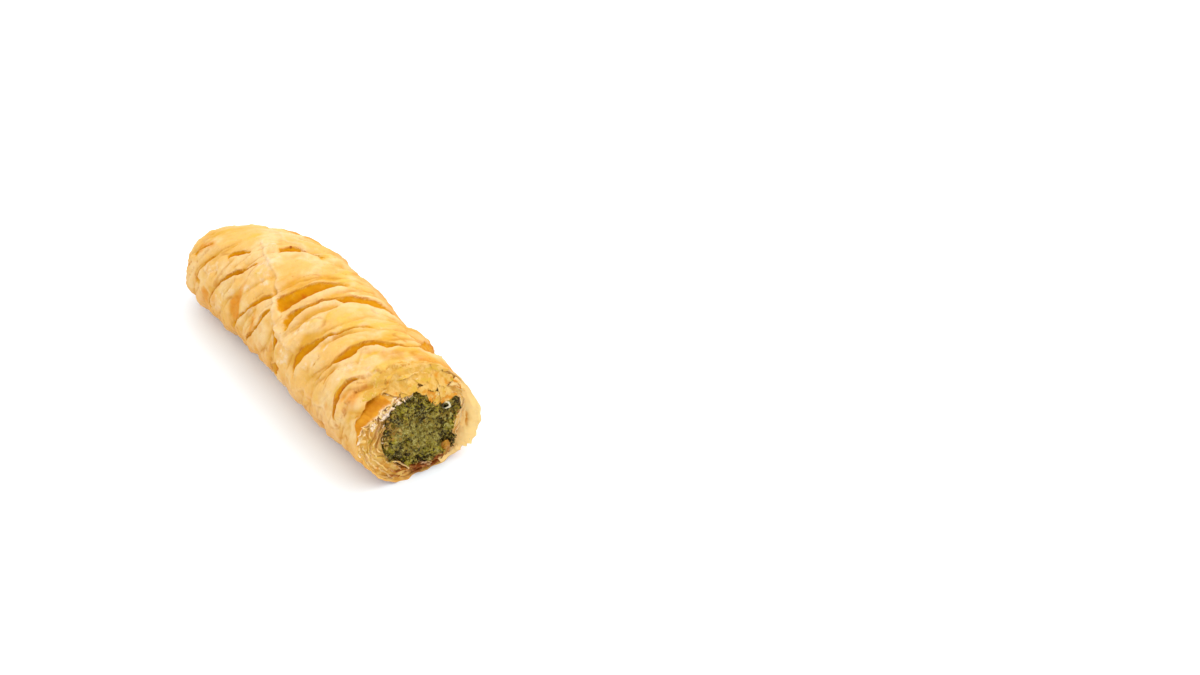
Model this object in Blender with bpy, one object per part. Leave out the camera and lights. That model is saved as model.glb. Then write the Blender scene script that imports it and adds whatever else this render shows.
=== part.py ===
"""Half a spinach borek: a filo roll with a tucked far end and a cut end that shows its filling.

The roll lies along X with the cut at +X, and stands on Z = 0. A place on its skin is written as a
distance along the roll from the tucked tip, in millimetres, and an angle round it, in degrees, from
the top (0) down the -Y side (90) and from the top down the +Y side (-90). The two solids are the
pastry, whose skin runs over the rim, across the cut layers and back down the bore that holds the
filling, and the filling itself, which runs through the roll from the cut to the tuck.
"""

import math

import bmesh
import bpy
import numpy as np

MM = 0.001
COLLECTION_NAME = "spinach_borek"

# The roll's section along its length: distance from the tip, half width, sideways shift and height.
ROLL_SECTIONS_MM = (
    (0.0, 13.0, -5.0, 28.5),
    (12.0, 15.6, -1.9, 31.2),
    (30.0, 20.2, 2.6, 34.9),
    (50.0, 21.5, 3.4, 36.7),
    (70.0, 21.8, 2.7, 37.5),
    (90.0, 21.6, 1.0, 37.6),
    (108.0, 22.0, 0.9, 37.6),
    (124.0, 21.5, 0.3, 37.2),
)
TUCK_LENGTH = 17.0 * MM
SUNK_UNDERSIDE = 1.6 * MM
CUT_AT_TABLE = 127.8 * MM
CUT_LEAN = 0.103
ARC_PER_DEGREE = 0.36 * MM

# The right-hand flap of pastry that stands out past the cut: reach, middle angle and half span.
FLAP_REACH = 4.6 * MM
FLAP_MIDDLE = -108.0
FLAP_SPAN = 44.0
FLAP_INNER_EDGE = (0.12, 0.32)
# The top of the rim is pressed down by the knife: drop, run along the roll, middle angle, half span.
PRESSED_DROP = 3.0 * MM
PRESSED_RUN = 14.0 * MM
PRESSED_MIDDLE = 22.0
PRESSED_SPAN = 52.0

# Valleys between pleats: depth, then points of distance, angle and half width.
FOLDS = (
    ("long_pocket", 3.0, ((71, -22, 1.2), (68, -5, 2.4), (66, 10, 2.8), (64, 26, 3.0), (63, 42, 2.4))),
    ("saddle", 2.6, ((85, -62, 3.0), (83.5, -36, 3.6), (79.5, -16, 3.2), (76.5, -3, 2.4), (74.2, 13, 1.6),
                     (72.3, 28, 1.8), (71, 44, 1.9), (71, 58, 1.2))),
    ("middle", 2.5, ((97, -12, 1.2), (93, 5, 1.2), (90, 24, 1.4), (88, 38, 1.9), (86, 50, 2.4),
                     (85, 64, 2.4), (85, 83, 1.5))),
    ("front", 2.8, ((108, -70, 3.4), (110, -44, 3.4), (110, -26, 1.6), (106.5, -6, 2.2), (103, 8, 1.9),
                    (101.5, 22, 2.4), (100.5, 38, 1.7), (98.5, 56, 1.4), (96, 78, 1.2))),
    ("spot", 2.2, ((52, -20, 1.2), (46, -10, 1.9), (42.5, 3, 1.7))),
    ("shoulder", 1.6, ((28, -78, 3.6), (34, -54, 3.6), (39, -32, 2.2))),
    ("tuck_brow", 1.3, ((19, 28, 1.3), (14, 41, 1.5), (12, 54, 1.3))),
    ("tuck_cheek", 0.9, ((23, 38, 1.2), (20, 54, 1.4), (18.5, 69, 1.3), (17.5, 84, 1.2))),
    ("tuck_spot", 1.2, ((35, 22, 1.2), (30, 30, 1.8), (28, 40, 1.4))),
    ("long_crease", 2.2, ((42, 22, 1.2), (39, 38, 1.6), (34.5, 52, 1.6), (31.5, 64, 1.7), (29, 80, 1.9),
                          (25, 106, 2.2))),
    ("left_gather", 1.9, ((58, 36, 1.3), (55, 46, 1.6), (51.5, 58, 1.6), (49.5, 68, 1.5), (46, 83, 1.5),
                          (42, 100, 1.6))),
    ("left_hollow", 1.7, ((46, 52, 2.0), (43, 66, 2.8), (41, 78, 2.8), (39, 94, 2.2))),
    ("left_crease", 1.8, ((62.5, 46, 1.2), (60.3, 58, 1.5), (59, 70, 1.4), (56.5, 82, 1.4), (51, 100, 1.5))),
    ("pucker", 0.9, ((67, 60, 1.2), (71, 67, 1.5), (70, 84, 1.4))),
    ("heel", 1.2, ((75, 88, 2.2), (71, 104, 2.6), (66, 118, 2.6))),
    ("lip_crack", 1.0, ((113, 33, 1.2), (110.3, 45, 1.3), (110.5, 62, 1.4), (113, 82, 1.6))),
)
FOLD_LEAST_HALF_WIDTH = 2.0 * MM
FOLD_FADE = 0.16
FOLD_SHOULDER = 0.32
FOLD_SHOULDER_WIDTH = 2.6
# Edges of pastry sheets, each a small step up on its raised side: height, reach of the raised side,
# then points of distance and angle. The raised side is on the right of the line's direction.
SHEET_EDGES = (
    ("overlap", 0.9, 9.0, ((36, 12), (43, 20), (51, 23), (57, 34), (61, 44), (66, 57), (72, 64), (84, 62))),
    ("rim_upper", 0.9, 6.0, ((113, 80), (110, 60), (110, 44), (113, 32), (117, 14), (119, -8))),
    ("rim_lower", 0.7, 4.0, ((114, 66), (115.5, 44), (118.5, 28), (121, 10), (122, -16))),
)
EDGE_SHARPNESS = 0.9 * MM
RELIEF_ENDS = 128.0
RELIEF_GONE = 150.0
# Soft swells, and hollows with a minus, of the skin: height, distance, angle and reach.
SWELLS = (
    ("far_shoulder", 1.3, 27, -82, 9.0),
    ("before_saddle", 0.9, 75, -54, 7.0),
    ("before_front", 0.8, 104, -54, 6.0),
    ("behind_pocket", -0.9, 61, -56, 6.0),
    ("after_saddle", -0.9, 91, -56, 5.0),
)
# Between its valleys the roll puffs up past the plain section: height, and where along it that holds.
PUFF_HEIGHT = 0.6 * MM
PUFF_STARTS = (16.0 * MM, 34.0 * MM)
PUFF_ENDS = (104.0 * MM, 118.0 * MM)

# The bore's outline about its middle: angle as on the skin, and radius.
BORE_MIDDLE = (1.5 * MM, 16.1 * MM)
BORE_OUTLINE_MM = (
    (0, 13.2), (22, 12.9), (38, 13.6), (60, 13.0), (85, 13.3), (112, 13.4), (135, 13.2), (160, 13.6),
    (180, 14.0), (-155, 14.0), (-132, 14.4), (-110, 13.2), (-92, 13.6), (-73, 16.6), (-54, 12.6), (-25, 12.8),
)
GAP = 0.3 * MM
BORE_STATIONS = (1.0, 0.94, 0.84, 0.70, 0.55, 0.40, 0.28, 0.20)
BORE_CLOSED = 13.0 * MM
BORE_ROUNDED_OVER = 36.0 * MM
BORE_INNER_SCALE = 0.90

# The cut face between rim and bore: places across it, from 0 at the rim to 1 at the bore.
FACE_RINGS = (0.04, 0.12, 0.20, 0.28, 0.36, 0.44, 0.52, 0.60, 0.68, 0.76, 0.84, 0.92, 0.97)
RIM_ROUNDING = 0.7 * MM
RIM_SEARCH_STEPS = 3
LAYER_TURNS = 2.5
LAYER_RELIEF = 0.55 * MM
LAYER_FADES = (0.15, 0.10)
# The deep gap behind the outer lip on the left: depth, middle angle, half span, place and half width.
RECESS_DEPTH = 5.0 * MM
RECESS_MIDDLE = 58.0
RECESS_SPAN = 42.0
RECESS_PLACE = 0.36
RECESS_WIDTH = 0.17

SEGMENTS = 64
TUCK_RINGS = 9
ROLL_RINGS = 57
FILLING_FACE_RINGS = 8
LUMP_HEIGHT = 0.8 * MM
# Waves whose sum makes the lumps: length, direction in degrees and phase.
LUMP_WAVES = (
    (9.1 * MM, 12, 0.4),
    (7.3 * MM, 71, 1.9),
    (6.2 * MM, 127, 4.1),
    (5.0 * MM, 40, 2.6),
    (4.4 * MM, 158, 5.2),
)
SHARP_ANGLE = math.radians(40.0)
FILO_COLOUR = (0.76, 0.42, 0.13)
FILO_ROUGHNESS = 0.5
FILLING_COLOUR = (0.13, 0.14, 0.04)
FILLING_ROUGHNESS = 0.6


def clear_scene():
    for obj in list(bpy.data.objects):
        bpy.data.objects.remove(obj, do_unlink=True)


def smooth_step(value, start, end):
    ramp = np.clip((value - start) / (end - start), 0.0, 1.0)
    return ramp * ramp * (3.0 - 2.0 * ramp)


def angle_window(degrees, middle, span):
    """1 at the middle angle, falling smoothly to 0 at the span on either side, the short way round."""
    away = np.abs((degrees - middle + 180.0) % 360.0 - 180.0)
    return 1.0 - smooth_step(away, 0.0, span)


def hermite(places, values, at):
    """A smooth curve through the values, with slopes from their neighbours."""
    slopes = np.gradient(values, places)
    k = np.clip(np.searchsorted(places, at, side="right") - 1, 0, len(places) - 2)
    width = places[k + 1] - places[k]
    t = np.clip((at - places[k]) / width, 0.0, 1.0)
    start = (1.0 + 2.0 * t) * (1.0 - t) ** 2 * values[k] + t * (1.0 - t) ** 2 * width * slopes[k]
    end = t * t * (3.0 - 2.0 * t) * values[k + 1] + t * t * (t - 1.0) * width * slopes[k + 1]
    return start + end


def section_at(along):
    """Half width, sideways shift and height of the roll's section at this distance along it."""
    table = np.array(ROLL_SECTIONS_MM) * MM
    return [hermite(table[:, 0], table[:, column], along) for column in (1, 2, 3)]


def nearest_on_line(points, along, arc):
    """Signed distance to a line of (along, arc) points, share of its length, and values carried on it."""
    best = np.full(along.shape, np.inf)
    signed = np.zeros(along.shape)
    share = np.zeros(along.shape)
    carried = np.zeros(along.shape)
    steps = np.linalg.norm(np.diff(points[:, :2], axis=0), axis=1)
    starts = np.concatenate([[0.0], np.cumsum(steps)])
    for k, step in enumerate(steps):
        run = (points[k + 1, :2] - points[k, :2]) / step
        off_s = along - points[k, 0]
        off_a = arc - points[k, 1]
        t = np.clip(off_s * run[0] + off_a * run[1], 0.0, step)
        gap_s = off_s - t * run[0]
        gap_a = off_a - t * run[1]
        distance = np.hypot(gap_s, gap_a)
        side = np.sign(run[0] * gap_a - run[1] * gap_s)
        nearer = distance < best
        best = np.where(nearer, distance, best)
        signed = np.where(nearer, side * distance, signed)
        share = np.where(nearer, (starts[k] + t) / starts[-1], share)
        mixed = points[k, 2] + (points[k + 1, 2] - points[k, 2]) * t / step
        carried = np.where(nearer, mixed, carried)
    return signed, share, carried


def line_points(points_mm_deg):
    """The line in metres along the roll and metres of arc round it, with the third value in metres."""
    rows = [(p[0] * MM, p[1] * ARC_PER_DEGREE, (p[2] if len(p) > 2 else 0.0) * MM) for p in points_mm_deg]
    return np.array(rows)


def faded(share):
    return smooth_step(share, 0.0, FOLD_FADE) * smooth_step(1.0 - share, 0.0, FOLD_FADE)


def relief(along, degrees):
    """Height of the skin over the plain roll: pleats, creases and sheet edges, gone on the underside."""
    arc = degrees * ARC_PER_DEGREE
    puffed = smooth_step(along, *PUFF_STARTS) * (1.0 - smooth_step(along, *PUFF_ENDS))
    height = PUFF_HEIGHT * puffed
    for _, depth, points in FOLDS:
        signed, share, half_width = nearest_on_line(line_points(points), along, arc)
        half_width = np.maximum(half_width, FOLD_LEAST_HALF_WIDTH)
        narrow = np.exp(-((signed / half_width) ** 2))
        wide = np.exp(-((signed / (half_width * FOLD_SHOULDER_WIDTH)) ** 2))
        valley = (1.0 - FOLD_SHOULDER) * narrow + FOLD_SHOULDER * wide
        height -= depth * MM * valley * faded(share)
    for _, step, reach, points in SHEET_EDGES:
        signed, share, _ = nearest_on_line(line_points(points), along, arc)
        raised = smooth_step(-signed, -EDGE_SHARPNESS, EDGE_SHARPNESS)
        height += step * MM * raised * np.exp(-np.abs(signed) / (reach * MM)) * faded(share)
    for _, swell, distance, angle, reach in SWELLS:
        away = np.hypot(along - distance * MM, arc - angle * ARC_PER_DEGREE)
        height += swell * MM * np.exp(-((away / (reach * MM)) ** 2))
    underside = smooth_step(np.abs(degrees), RELIEF_ENDS, RELIEF_GONE)
    return height * (1.0 - underside)


def plain_roll(along, degrees):
    """Points of the roll without relief, and the way out of it at each."""
    half_width, shift, height = section_at(along)
    closing = np.clip(1.0 - along / TUCK_LENGTH, 0.0, 1.0)
    shrink = np.sqrt(1.0 - closing**2)
    half_height = (height + SUNK_UNDERSIDE) / 2.0
    angle = np.radians(degrees)
    out = np.stack([-closing, -shrink * np.sin(angle), shrink * np.cos(angle)], axis=-1)
    y = shift - half_width * shrink * np.sin(angle)
    z = height - half_height + half_height * shrink * np.cos(angle)
    return np.stack([along, y, z], axis=-1), out


def cut_distance(height):
    """How far along the roll the knife's leaning plane is at a height over the table."""
    return CUT_AT_TABLE - CUT_LEAN * height


def rim_distance(degrees):
    """Distance along the roll at which the skin meets the leaning cut, closed in on by repetition."""
    rim = np.full(degrees.shape, CUT_AT_TABLE)
    for _ in range(RIM_SEARCH_STEPS):
        point, _ = plain_roll(rim, degrees)
        rim = cut_distance(np.maximum(point[..., 2], 0.0))
    return rim


def skin(along, degrees):
    point, out = plain_roll(along, degrees)
    point = point + out * relief(along, degrees)[..., None]
    pressed = smooth_step(along, cut_distance(point[..., 2]) - PRESSED_RUN, cut_distance(point[..., 2]))
    drop = PRESSED_DROP * pressed * angle_window(degrees, PRESSED_MIDDLE, PRESSED_SPAN)
    point[..., 2] = np.maximum(point[..., 2] - drop, 0.0)
    return point


def bore_radius(degrees):
    table = np.array(sorted(BORE_OUTLINE_MM))
    angles = np.concatenate([table[:, 0] - 360.0, table[:, 0], table[:, 0] + 360.0])
    radii = np.tile(table[:, 1], 3) * MM
    return hermite(angles, radii, degrees)


def bore_point(along, degrees, scale, clearance):
    """A point on the filling's side at this distance along the roll, or on the bore's with a clearance."""
    _, shift, _ = section_at(along)
    radius = bore_radius(degrees) * scale + clearance
    angle = np.radians(degrees)
    _, cut_shift, _ = section_at(np.full(degrees.shape, CUT_AT_TABLE))
    y = BORE_MIDDLE[0] + shift - cut_shift - radius * np.sin(angle)
    z = BORE_MIDDLE[1] + radius * np.cos(angle)
    return np.stack([along, y, z], axis=-1)


def bore_ring(station, degrees, clearance):
    """One ring of the bore: on the cut where the station is 1, then deeper and closing in at the tuck."""
    mouth = bore_point(np.full(degrees.shape, CUT_AT_TABLE), degrees, 1.0, clearance)
    mouth[..., 0] = cut_distance(mouth[..., 2])
    if station == 1.0:
        return mouth
    along = np.full(degrees.shape, station * CUT_AT_TABLE)
    narrowing = 1.0 - (1.0 - BORE_INNER_SCALE) * smooth_step(-along, -CUT_AT_TABLE, -BORE_ROUNDED_OVER)
    closing = np.clip((along - BORE_CLOSED) / BORE_ROUNDED_OVER, 0.0, 1.0)
    rounded = np.sqrt(1.0 - (1.0 - closing) ** 2)
    return bore_point(along, degrees, narrowing * rounded, clearance)


def bore_tip(clearance):
    tip = bore_point(np.array([BORE_CLOSED - clearance]), np.zeros(1), 0.0, 0.0)
    return tip[0]


def layer_relief(across, degrees):
    """The cut sheets wind inward as one spiral: shallow terraces across the face."""
    turn = (across * LAYER_TURNS + degrees / 360.0) % 1.0
    terrace = np.abs(2.0 * turn - 1.0)
    inside = smooth_step(across, 0.0, LAYER_FADES[0]) * smooth_step(1.0 - across, 0.0, LAYER_FADES[1])
    return LAYER_RELIEF * (terrace - 0.5) * inside


def face_ring(across, degrees):
    """One ring of the cut face, across it from the rim (0) to the bore (1)."""
    rim = skin(rim_distance(degrees), degrees)
    bore = bore_ring(1.0, degrees, GAP)
    point = rim + (bore - rim) * across
    flap = FLAP_REACH * angle_window(degrees, FLAP_MIDDLE, FLAP_SPAN)
    on_flap = 1.0 - smooth_step(across, *FLAP_INNER_EDGE)
    recess = math.exp(-(((across - RECESS_PLACE) / RECESS_WIDTH) ** 2))
    recess = RECESS_DEPTH * recess * angle_window(degrees, RECESS_MIDDLE, RECESS_SPAN)
    point[..., 0] = cut_distance(point[..., 2]) + flap * on_flap - recess
    point[..., 0] += layer_relief(across, degrees)
    return point


def pastry_rings(degrees):
    """Every ring of the pastry between its two poles, from the tucked tip to the bore's blind end."""
    rings = []
    rim = rim_distance(degrees) - RIM_ROUNDING
    rim = rim + FLAP_REACH * angle_window(degrees, FLAP_MIDDLE, FLAP_SPAN)
    for k in range(1, TUCK_RINGS + 1):
        share = 1.0 - math.cos(math.pi / 2.0 * k / (TUCK_RINGS + 1))
        rings.append(skin(np.full(degrees.shape, share * TUCK_LENGTH), degrees))
    for k in range(ROLL_RINGS + 1):
        share = k / ROLL_RINGS
        rings.append(skin(TUCK_LENGTH + (rim - TUCK_LENGTH) * share, degrees))
    for across in FACE_RINGS:
        rings.append(face_ring(across, degrees))
    for station in BORE_STATIONS:
        rings.append(bore_ring(station, degrees, GAP))
    return rings


def filling_rings(degrees):
    """Every ring of the filling between its poles, from the blind end to the middle of the cut face."""
    rings = []
    for station in reversed(BORE_STATIONS[1:]):
        rings.append(bore_ring(station, degrees, 0.0))
    edge = bore_ring(1.0, degrees, 0.0)
    edge[..., 0] -= LUMP_HEIGHT
    rings.append(edge)
    middle = np.array([0.0, BORE_MIDDLE[0], BORE_MIDDLE[1]])
    for k in range(1, FILLING_FACE_RINGS + 1):
        share = k / (FILLING_FACE_RINGS + 1)
        point = edge + (middle - edge) * share
        point[..., 0] = cut_distance(point[..., 2]) + lumps(point[..., 1], point[..., 2])
        rings.append(point)
    return rings


def lumps(y, z):
    """Rounded lumps of chopped leaf on the filling's face."""
    height = np.zeros(np.shape(y))
    for length, direction, phase in LUMP_WAVES:
        across_wave = y * math.cos(math.radians(direction)) + z * math.sin(math.radians(direction))
        height = height + np.sin(2.0 * math.pi * across_wave / length + phase)
    return LUMP_HEIGHT * height / 2.0 - LUMP_HEIGHT / 2.0


def sphere_through_rings(name, rings, first_pole, last_pole, degrees):
    """A UV sphere whose rings are moved, one by one, onto the rings given."""
    mesh = bpy.data.meshes.new(name)
    bm = bmesh.new()
    bmesh.ops.create_uvsphere(bm, u_segments=SEGMENTS, v_segments=len(rings) + 1, radius=1.0)
    for vert in bm.verts:
        polar = math.acos(max(-1.0, min(1.0, vert.co.z)))
        index = round(polar / math.pi * (len(rings) + 1))
        around = math.degrees(math.atan2(vert.co.y, vert.co.x))
        column = round((around - degrees[0]) / 360.0 * SEGMENTS) % SEGMENTS
        if index == 0:
            vert.co = first_pole
        elif index > len(rings):
            vert.co = last_pole
        else:
            vert.co = rings[index - 1][column]
    bmesh.ops.triangulate(bm, faces=bm.faces[:])
    bmesh.ops.recalc_face_normals(bm, faces=bm.faces[:])
    bm.to_mesh(mesh)
    bm.free()
    mesh.shade_smooth()
    mesh.set_sharp_from_angle(angle=SHARP_ANGLE)
    return bpy.data.objects.new(name, mesh)


def ring_angles():
    return np.array([360.0 * k / SEGMENTS - 180.0 for k in range(SEGMENTS)])


def principled(name, colour, roughness):
    material = bpy.data.materials.new(name)
    material.use_nodes = True
    shader = next(node for node in material.node_tree.nodes if node.type == "BSDF_PRINCIPLED")
    shader.inputs["Base Color"].default_value = (*colour, 1.0)
    shader.inputs["Roughness"].default_value = roughness
    shader.inputs["Metallic"].default_value = 0.0
    return material


def make_pastry():
    degrees = ring_angles()
    first_pole = skin(np.zeros(1), np.zeros(1))[0]
    pastry = sphere_through_rings("pastry", pastry_rings(degrees), first_pole, bore_tip(GAP), degrees)
    pastry.data.materials.append(principled("baked_filo", FILO_COLOUR, FILO_ROUGHNESS))
    return pastry


def make_filling():
    degrees = ring_angles()
    y, z = BORE_MIDDLE
    last_pole = (cut_distance(z) + float(lumps(y, z)), y, z)
    rings = filling_rings(degrees)
    filling = sphere_through_rings("spinach_filling", rings, bore_tip(0.0), last_pole, degrees)
    filling.data.materials.append(principled("spinach_and_cheese", FILLING_COLOUR, FILLING_ROUGHNESS))
    return filling


def centre_on_origin(parts):
    """Moves the meshes so that the box round all of them stands on Z = 0 with its middle on the Z axis."""
    corners = np.array([vert.co[:] for part in parts for vert in part.data.vertices])
    middle = (corners.min(axis=0) + corners.max(axis=0)) / 2.0
    for part in parts:
        for vert in part.data.vertices:
            vert.co.x -= middle[0]
            vert.co.y -= middle[1]


def main():
    clear_scene()
    parts = [make_pastry(), make_filling()]
    centre_on_origin(parts)
    collection = bpy.data.collections.new(COLLECTION_NAME)
    bpy.context.scene.collection.children.link(collection)
    for part in parts:
        collection.objects.link(part)


main()
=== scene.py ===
# %% [markdown]
# # Half a spinach borek
# A borek stick is a long roll of filo pastry, paper-thin sheets brushed with oil, wound round chopped
# spinach and white cheese and then baked. This one was cut in two, so one end is tucked and the other
# shows layers and filling. The packed model gives the plain solids. This lesson puts the baked skin, the
# cut sheets and the crumbly filling over them, in the same place and at the same size.

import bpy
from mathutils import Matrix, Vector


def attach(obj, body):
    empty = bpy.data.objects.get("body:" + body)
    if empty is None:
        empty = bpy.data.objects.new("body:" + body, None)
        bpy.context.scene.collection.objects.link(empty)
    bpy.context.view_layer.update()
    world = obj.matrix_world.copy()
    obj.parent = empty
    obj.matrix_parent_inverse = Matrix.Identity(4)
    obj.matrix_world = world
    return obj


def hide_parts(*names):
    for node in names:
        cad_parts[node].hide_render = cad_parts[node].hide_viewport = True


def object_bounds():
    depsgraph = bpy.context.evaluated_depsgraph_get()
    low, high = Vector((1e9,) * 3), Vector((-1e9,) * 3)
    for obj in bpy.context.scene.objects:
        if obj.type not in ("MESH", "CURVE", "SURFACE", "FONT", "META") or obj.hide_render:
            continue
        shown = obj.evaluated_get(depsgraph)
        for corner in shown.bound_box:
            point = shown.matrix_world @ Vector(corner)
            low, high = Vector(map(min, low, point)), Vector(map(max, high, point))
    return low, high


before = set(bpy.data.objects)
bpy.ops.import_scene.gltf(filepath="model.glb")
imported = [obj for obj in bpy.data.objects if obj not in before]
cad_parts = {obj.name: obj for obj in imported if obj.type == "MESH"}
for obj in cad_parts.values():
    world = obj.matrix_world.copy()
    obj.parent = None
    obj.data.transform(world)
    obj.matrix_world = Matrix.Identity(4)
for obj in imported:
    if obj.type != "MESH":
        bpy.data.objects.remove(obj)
cad_low, cad_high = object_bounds()
print("frame box in mm:", [round(1000 * side, 1) for side in cad_high - cad_low])

# %% Blender's modules and the unit
import math

import bmesh
import bpy
import numpy as np
from mathutils import Vector, noise

MM = 0.001
BODY = "root"
random = np.random.default_rng(7)
print("Blender", bpy.app.version_string)

# %% [markdown]
# ## The camera
# A product photo of food is taken with a long lens from a little above the table, so that the roll hardly
# tapers. The lens, the height and the turn below give that view. The camera is made first, because every
# later choice of detail depends on how large the roll is in the picture.

# %% The camera
CAMERA_TURN = math.radians(54.42)
CAMERA_HEIGHT = math.radians(37.0)
CAMERA_DISTANCE = 1.115
LENS_MM = 102.0
LOOK_AT = Vector((0.05526, 0.07333, 0.01703))


def direction(turn, height):
    """The unit vector towards something seen at this turn and height, both in radians."""
    flat = math.cos(height)
    return Vector((math.sin(turn) * flat, -math.cos(turn) * flat, math.sin(height)))


camera = bpy.data.objects.new("camera", bpy.data.cameras.new("camera"))
camera.data.lens = LENS_MM
camera.location = LOOK_AT + CAMERA_DISTANCE * direction(CAMERA_TURN, CAMERA_HEIGHT)
camera.rotation_mode = "QUATERNION"
camera.rotation_quaternion = (-direction(CAMERA_TURN, CAMERA_HEIGHT)).to_track_quat("-Z", "Y")
bpy.context.scene.collection.objects.link(camera)
bpy.context.scene.camera = camera
bpy.context.scene.view_settings.view_transform = "Standard"
print("camera at", [round(value, 3) for value in camera.location])

# %% [markdown]
# ## Soft studio light
# Pastry looks tender when the light wraps round it. Here the sky itself is the soft box: it is bright
# towards the upper right and dimmer at the lower left, so that a roll on a white table gets only a short,
# soft shadow. A small lamp would make the flakes look like foil, so one wide, weak lamp adds just a
# little gloss.

# %% The sky
LIGHT_TURN = CAMERA_TURN + math.radians(118.0)
LIGHT_HEIGHT = math.radians(66.0)
SKY_COLOUR = (1.0, 0.995, 0.985, 1.0)
SKY_DIM, SKY_BRIGHT = 0.82, 1.52
LAMP_POWER = 3.2
LAMP_SIDE = 0.9
LAMP_DISTANCE = 1.25

sky = bpy.data.worlds.new("studio_sky")
sky.use_nodes = True
sky_nodes, sky_links = sky.node_tree.nodes, sky.node_tree.links
sky_nodes["Background"].inputs["Color"].default_value = SKY_COLOUR
sky_place = sky_nodes.new("ShaderNodeTexCoord")
facing = sky_nodes.new("ShaderNodeVectorMath")
facing.operation = "DOT_PRODUCT"
facing.inputs[1].default_value = direction(LIGHT_TURN, LIGHT_HEIGHT)
brightness = sky_nodes.new("ShaderNodeMapRange")
brightness.interpolation_type = "SMOOTHSTEP"
for name, value in (("From Min", -0.5), ("From Max", 1.0), ("To Min", SKY_DIM), ("To Max", SKY_BRIGHT)):
    brightness.inputs[name].default_value = value
sky_links.new(sky_place.outputs["Generated"], facing.inputs[0])
sky_links.new(facing.outputs["Value"], brightness.inputs["Value"])
sky_links.new(brightness.outputs["Result"], sky_nodes["Background"].inputs["Strength"])
bpy.context.scene.world = sky
print("sky strength from", SKY_DIM, "to", SKY_BRIGHT)

# %% The lamp
lamp = bpy.data.objects.new("soft_lamp", bpy.data.lights.new("soft_lamp", "AREA"))
lamp.data.shape = "DISK"
lamp.data.size = LAMP_SIDE
lamp.data.energy = LAMP_POWER
lamp.location = LAMP_DISTANCE * direction(LIGHT_TURN, LIGHT_HEIGHT)
lamp.rotation_mode = "QUATERNION"
lamp.rotation_quaternion = (-direction(LIGHT_TURN, LIGHT_HEIGHT)).to_track_quat("-Z", "Y")
bpy.context.scene.collection.objects.link(lamp)
print("lamp at", [round(value, 3) for value in lamp.location])

# %% [markdown]
# ## Helpers for soft shapes
# Three small tools come back all through the lesson. A smooth step is a ramp with no corners. A window
# picks out part of the way round the roll. Blender's own noise gives the unevenness that no formula has,
# and its value depends only on the place, so it comes out the same every time.


# %% Ramps, windows, curves and noise
def smooth_step(value, start, end):
    """0 before the start and 1 past the end, with no corner between."""
    ramp = np.clip((value - start) / (end - start), 0.0, 1.0)
    return ramp * ramp * (3.0 - 2.0 * ramp)


def angle_window(degrees, middle, span):
    """1 at the middle angle, falling smoothly to 0 at the span on either side, the short way round."""
    away = np.abs((degrees - middle + 180.0) % 360.0 - 180.0)
    return 1.0 - smooth_step(away, 0.0, span)


def bump(value, middle, width):
    """1 at the middle, falling away like a bell on both sides."""
    return np.exp(-(((value - middle) / width) ** 2))


def hermite(places, values, at):
    """A smooth curve through the values, with slopes from their neighbours."""
    slopes = np.gradient(values, places)
    k = np.clip(np.searchsorted(places, at, side="right") - 1, 0, len(places) - 2)
    width = places[k + 1] - places[k]
    t = np.clip((at - places[k]) / width, 0.0, 1.0)
    start = (1.0 + 2.0 * t) * (1.0 - t) ** 2 * values[k] + t * (1.0 - t) ** 2 * width * slopes[k]
    end = t * t * (3.0 - 2.0 * t) * values[k + 1] + t * t * (t - 1.0) * width * slopes[k + 1]
    return start + end


def ripple(points, size, seed):
    """Noise from about -1 to 1 at points in metres, in lumps of about this size."""
    scaled = np.asarray(points) / size + seed
    values = [noise.noise(row) for row in scaled.reshape(-1, 3).tolist()]
    return np.array(values).reshape(scaled.shape[:-1])


print("noise at one place:", round(float(ripple(np.array([0.01, 0.02, 0.03]), 0.004, 0.5)), 4))

# %% [markdown]
# ## The plain roll
# Every place on the skin is a distance along the roll from the tucked tip and an angle round it: 0 on
# top, 90 on the left side as seen from the tip, -90 on the right. The sections below give the roll's half
# width, how far it wanders sideways and its height, as in the solid model. The knife leaned a little, so
# the cut does too.

# %% The roll's sections and the cut
TIP = cad_low.x
SIDEWAYS = 1.988 * MM
ROLL_SECTIONS_MM = (
    (0.0, 13.0, -5.0, 28.5),
    (12.0, 15.6, -1.9, 31.2),
    (30.0, 20.2, 2.6, 34.9),
    (50.0, 21.5, 3.4, 36.7),
    (70.0, 21.8, 2.7, 37.5),
    (90.0, 21.6, 1.0, 37.6),
    (108.0, 22.0, 0.9, 37.6),
    (124.0, 21.5, 0.3, 37.2),
)
TUCK_LENGTH = 17.0 * MM
SUNK_UNDERSIDE = 1.6 * MM
CUT_AT_TABLE = 127.8 * MM
CUT_LEAN = 0.103
ARC_PER_DEGREE = 0.36 * MM


def section_at(along):
    """Half width, sideways shift and height of the roll's section at this distance along it."""
    table = np.array(ROLL_SECTIONS_MM) * MM
    return [hermite(table[:, 0], table[:, column], along) for column in (1, 2, 3)]


def cut_distance(height):
    """How far along the roll the knife's leaning plane is at a height over the table."""
    return CUT_AT_TABLE - CUT_LEAN * height


def plain_roll(along, degrees):
    """Points of the roll without relief, and the way out of it at each."""
    half_width, shift, height = section_at(along)
    closing = np.clip(1.0 - along / TUCK_LENGTH, 0.0, 1.0)
    shrink = np.sqrt(1.0 - closing**2)
    half_height = (height + SUNK_UNDERSIDE) / 2.0
    angle = np.radians(degrees)
    out = np.stack([-closing, -shrink * np.sin(angle), shrink * np.cos(angle)], axis=-1)
    y = shift - half_width * shrink * np.sin(angle)
    z = height - half_height + half_height * shrink * np.cos(angle)
    return np.stack([along, y, z], axis=-1), out


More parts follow.
